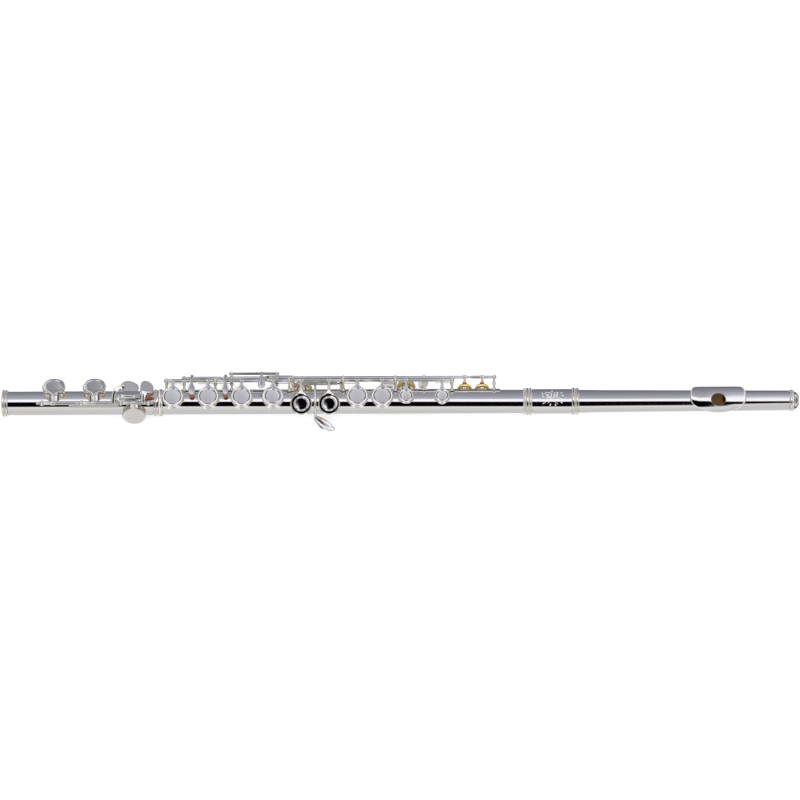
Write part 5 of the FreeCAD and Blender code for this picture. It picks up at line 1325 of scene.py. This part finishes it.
for i, x in enumerate(main_xs):
    post("post_main%d" % i, x, [(MAIN, MAIN_HEAD_R)], 53.8, "body",
         "body_posts" if i == 0 else None)
for i, x in enumerate(trill_xs):
    heads = [(TRILL, SMALL_HEAD_R)]
    if any(abs(x - side_x) < 1 for side_x in side_xs):
        heads.append((SIDE, SIDE_HEAD_R))
    post("post_trill%d" % i, x, heads, 62.2, "body")
for i, x in enumerate(clusters("body_posts", G_SHARP, 2.05)):
    post("post_gs%d" % i, x, [(G_SHARP, SMALL_HEAD_R)], 59.5, "body")
for i, x in enumerate(clusters("body_posts", THUMB, 2.05)):
    post("post_thumb%d" % i, x, [(THUMB, SMALL_HEAD_R)], 158, "body")
for i, x in enumerate(FOOT_POST_XS):
    post("post_foot%d" % i, x, [(FOOT, MAIN_HEAD_R)], FOOT_ROD_PHI, "foot",
         "foot_posts" if i == 0 else None)

# screw heads on the outer faces of the end posts
SCREW_LENGTH = 0.7
for i, x0 in enumerate((FOOT_POST_XS[0] - HEAD_HALF - SCREW_LENGTH, FOOT_POST_XS[-1] + HEAD_HALF)):
    rod_x("foot_screw%d" % i, 1.25, x0, x0 + SCREW_LENGTH, FOOT, STEEL, "foot", edge=0.2)

# ------------------------------------------------------------------ CAD nodes shown as they are
SHOWN = {
    "body_ribs": SILVER_WARM, "foot_rib": SILVER_RIB, "foot_socket": SILVER,
    "body_pivot_screws": STEEL, "back_steels": STEEL, "right_hand_steel": STEEL,
    "left_hand_steel": STEEL, "trill_steel": STEEL, "foot_steel": STEEL, "body_springs": BLUED,
    "foot_springs": BLUED, "stopper_cork": CORK, "stopper_fittings": SILVER_KEY,
}
for node, mat in SHOWN.items():
    mesh = frame["nodes"][node].data
    mesh.materials.clear()
    mesh.materials.append(mat)
    for polygon in mesh.polygons:
        polygon.use_smooth = True
    mesh.set_sharp_from_angle(angle=math.radians(30))


# ------------------------------------------------------------------ world
def linear(colour):
    """8-bit sRGB to linear."""
    return tuple(v / 255 / 12.92 if v / 255 <= 0.04045 else ((v / 255 + 0.055) / 1.055) ** 2.4
                 for v in colour)


def strip_stops(stops):
    """Ramp stops from (phi, sRGB)."""
    return [((phi + 180) / 360, linear(colour)) for phi, colour in stops]


# sheen that the strip lights round the flute's axis give in polished plate: (phi, sRGB)
MID_STRIPS = [
    (-180, (196, 196, 198)), (-120, (198, 196, 195)), (-84, (212, 210, 208)),
    (-70, (226, 224, 223)), (-65, (24, 20, 22)), (-61, (3, 2, 4)), (-24, (2, 1, 6)),
    (-20, (66, 62, 70)), (-17, (252, 250, 254)), (4, (247, 246, 252)), (8, (186, 188, 197)),
    (24, (160, 161, 169)), (70, (134, 134, 143)), (120, (112, 112, 120)),
    (160, (120, 118, 122)), (180, (196, 196, 198))]
# the same towards the crown
END_STRIPS = [
    (-180, (196, 196, 198)), (-120, (190, 189, 189)), (-84, (212, 210, 208)),
    (-70, (226, 224, 223)), (-65, (24, 20, 22)), (-61, (3, 2, 4)), (-29, (2, 1, 6)),
    (-25, (150, 148, 152)), (-20, (255, 254, 255)), (10, (236, 236, 246)),
    (30, (186, 187, 200)), (60, (150, 150, 162)), (120, (104, 102, 112)),
    (160, (120, 118, 122)), (180, (196, 196, 198))]
# sheen in directions that lean along the flute: (size of the X part, sRGB)
FLANK = [
    (0.0, (250, 250, 252)), (0.42, (246, 245, 243)), (0.50, (150, 148, 146)),
    (0.56, (34, 31, 32)), (0.68, (24, 22, 24)), (0.74, (170, 168, 166)),
    (0.86, (226, 224, 220)), (0.95, (120, 118, 120)), (1.0, (92, 90, 94))]


def background(tree, strength, colour):
    node = tree.nodes.new("ShaderNodeBackground")
    feed(tree, node.inputs["Color"], colour)
    node.inputs["Strength"].default_value = strength
    return node.outputs[0]


def studio_world():
    """Strip lights for reflections; plain white for the camera and for diffuse light."""
    world = bpy.data.worlds.new("studio")
    bpy.context.scene.world = world
    world.use_nodes = True
    tree = world.node_tree
    for node in list(tree.nodes):
        tree.nodes.remove(node)
    out = tree.nodes.new("ShaderNodeOutputWorld")
    coords = tree.nodes.new("ShaderNodeTexCoord")
    split = tree.nodes.new("ShaderNodeSeparateXYZ")
    tree.links.new(coords.outputs["Generated"], split.inputs[0])
    lean = split.outputs["X"]
    angle = math_node(tree, "ARCTAN2", split.outputs["Y"], split.outputs["Z"])
    # the strips stand a little further round at the foot end
    shift = map_range(tree, lean, (math.radians(-14.5), 0.0), (-0.05, 0.034))
    angle = math_node(tree, "ADD", angle, shift)
    # and the dark one narrows towards the crown
    past = math_node(tree, "ADD", angle, math.radians(24))
    below = math_node(tree, "MINIMUM", past, 0.0)
    narrowing = map_range(tree, lean, (0.0, 1.1), (0.068, 0.092))
    angle = math_node(tree, "MULTIPLY_ADD", below, narrowing, angle)
    turn = map_range(tree, angle, (0.0, 1.0), (-math.pi, math.pi))
    middle = ramp(tree, turn, strip_stops(MID_STRIPS))
    end = ramp(tree, turn, strip_stops(END_STRIPS))
    level = mix_colour(tree, map_range(tree, lean, (0.0, 1.0), (0.060, 0.085)), middle, end)
    side = math_node(tree, "ABSOLUTE", lean)
    flank = ramp(tree, side, [(position, linear(colour)) for position, colour in FLANK])
    sheen = mix_colour(tree, map_range(tree, side, (0.0, 0.92), (0.14, 0.26)), level, flank)
    reflected = background(tree, 1.06, sheen)
    white = background(tree, 1.0, (1, 1, 1, 1))
    path = tree.nodes.new("ShaderNodeLightPath")
    mix = tree.nodes.new("ShaderNodeMixShader")
    plain = math_node(tree, "MAXIMUM", path.outputs["Is Camera Ray"],
                      path.outputs["Is Diffuse Ray"])
    for socket, value in zip(mix.inputs, (plain, reflected, white)):
        tree.links.new(value, socket)
    tree.links.new(mix.outputs[0], out.inputs[0])


# ------------------------------------------------------------------ floor, lights, camera (metres)
def paper_floor():
    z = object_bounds()[0].z - 0.0006
    mat = new_material("floor_paper", {
        "Base Color": (0.93, 0.93, 0.93, 1), "Roughness": 0.9, "Specular IOR Level": 0.1,
        "Emission Color": (1, 1, 1, 1), "Emission Strength": 0.25})[0]
    mesh = bpy.data.meshes.new("floor")
    mesh.from_pydata([(x, y, z) for x, y in rectangle(-3, 4, -3, 3)], [], [(0, 1, 2, 3)])
    floor = bpy.data.objects.new("floor", mesh)
    mesh.materials.append(mat)
    bpy.context.scene.collection.objects.link(floor)
    floor.visible_glossy = False


def disk_light(name, location, energy):
    """Round area light aimed at the middle of the flute, hidden from reflections."""
    data = bpy.data.lights.new(name, "AREA")
    data.shape = "DISK"
    data.size = 1.6
    data.energy = energy
    light = bpy.data.objects.new(name, data)
    bpy.context.scene.collection.objects.link(light)
    light.location = location
    light.rotation_mode = "QUATERNION"
    aim = Vector((0.33, 0, 0)) - Vector(location)
    light.rotation_quaternion = aim.to_track_quat("-Z", "Y")
    light.visible_glossy = False


def camera():
    """Long lens above the flute, leaning towards -Y, with +Y up in the view."""
    lean, roll = math.radians(15), math.radians(-0.22)
    distance = 3.76
    up = Vector((0, math.cos(lean), math.sin(lean)))
    toward = Vector((0, -math.sin(lean), math.cos(lean)))
    target = Vector((0.3364542, 0, 0)) + up * 0.0015228
    cam = bpy.data.objects.new("camera", bpy.data.cameras.new("camera"))
    bpy.context.scene.collection.objects.link(cam)
    cam.data.lens = 200
    cam.data.sensor_width = 36
    cam.location = target + toward * distance
    cam.rotation_mode = "QUATERNION"
    right = Vector((1, 0, 0)) * math.cos(roll) + up * math.sin(roll)
    axes = Matrix((right, toward.cross(right), toward)).transposed()
    cam.rotation_quaternion = axes.to_quaternion()
    cam.data.clip_start, cam.data.clip_end = 0.1, 50
    bpy.context.scene.camera = cam


studio_world()
paper_floor()
disk_light("key_light", (0.1, -0.5, 1.6), energy=9)
disk_light("fill_light", (0.7, 0.8, 1.4), energy=5)
camera()
bpy.context.scene.view_settings.view_transform = "Standard"
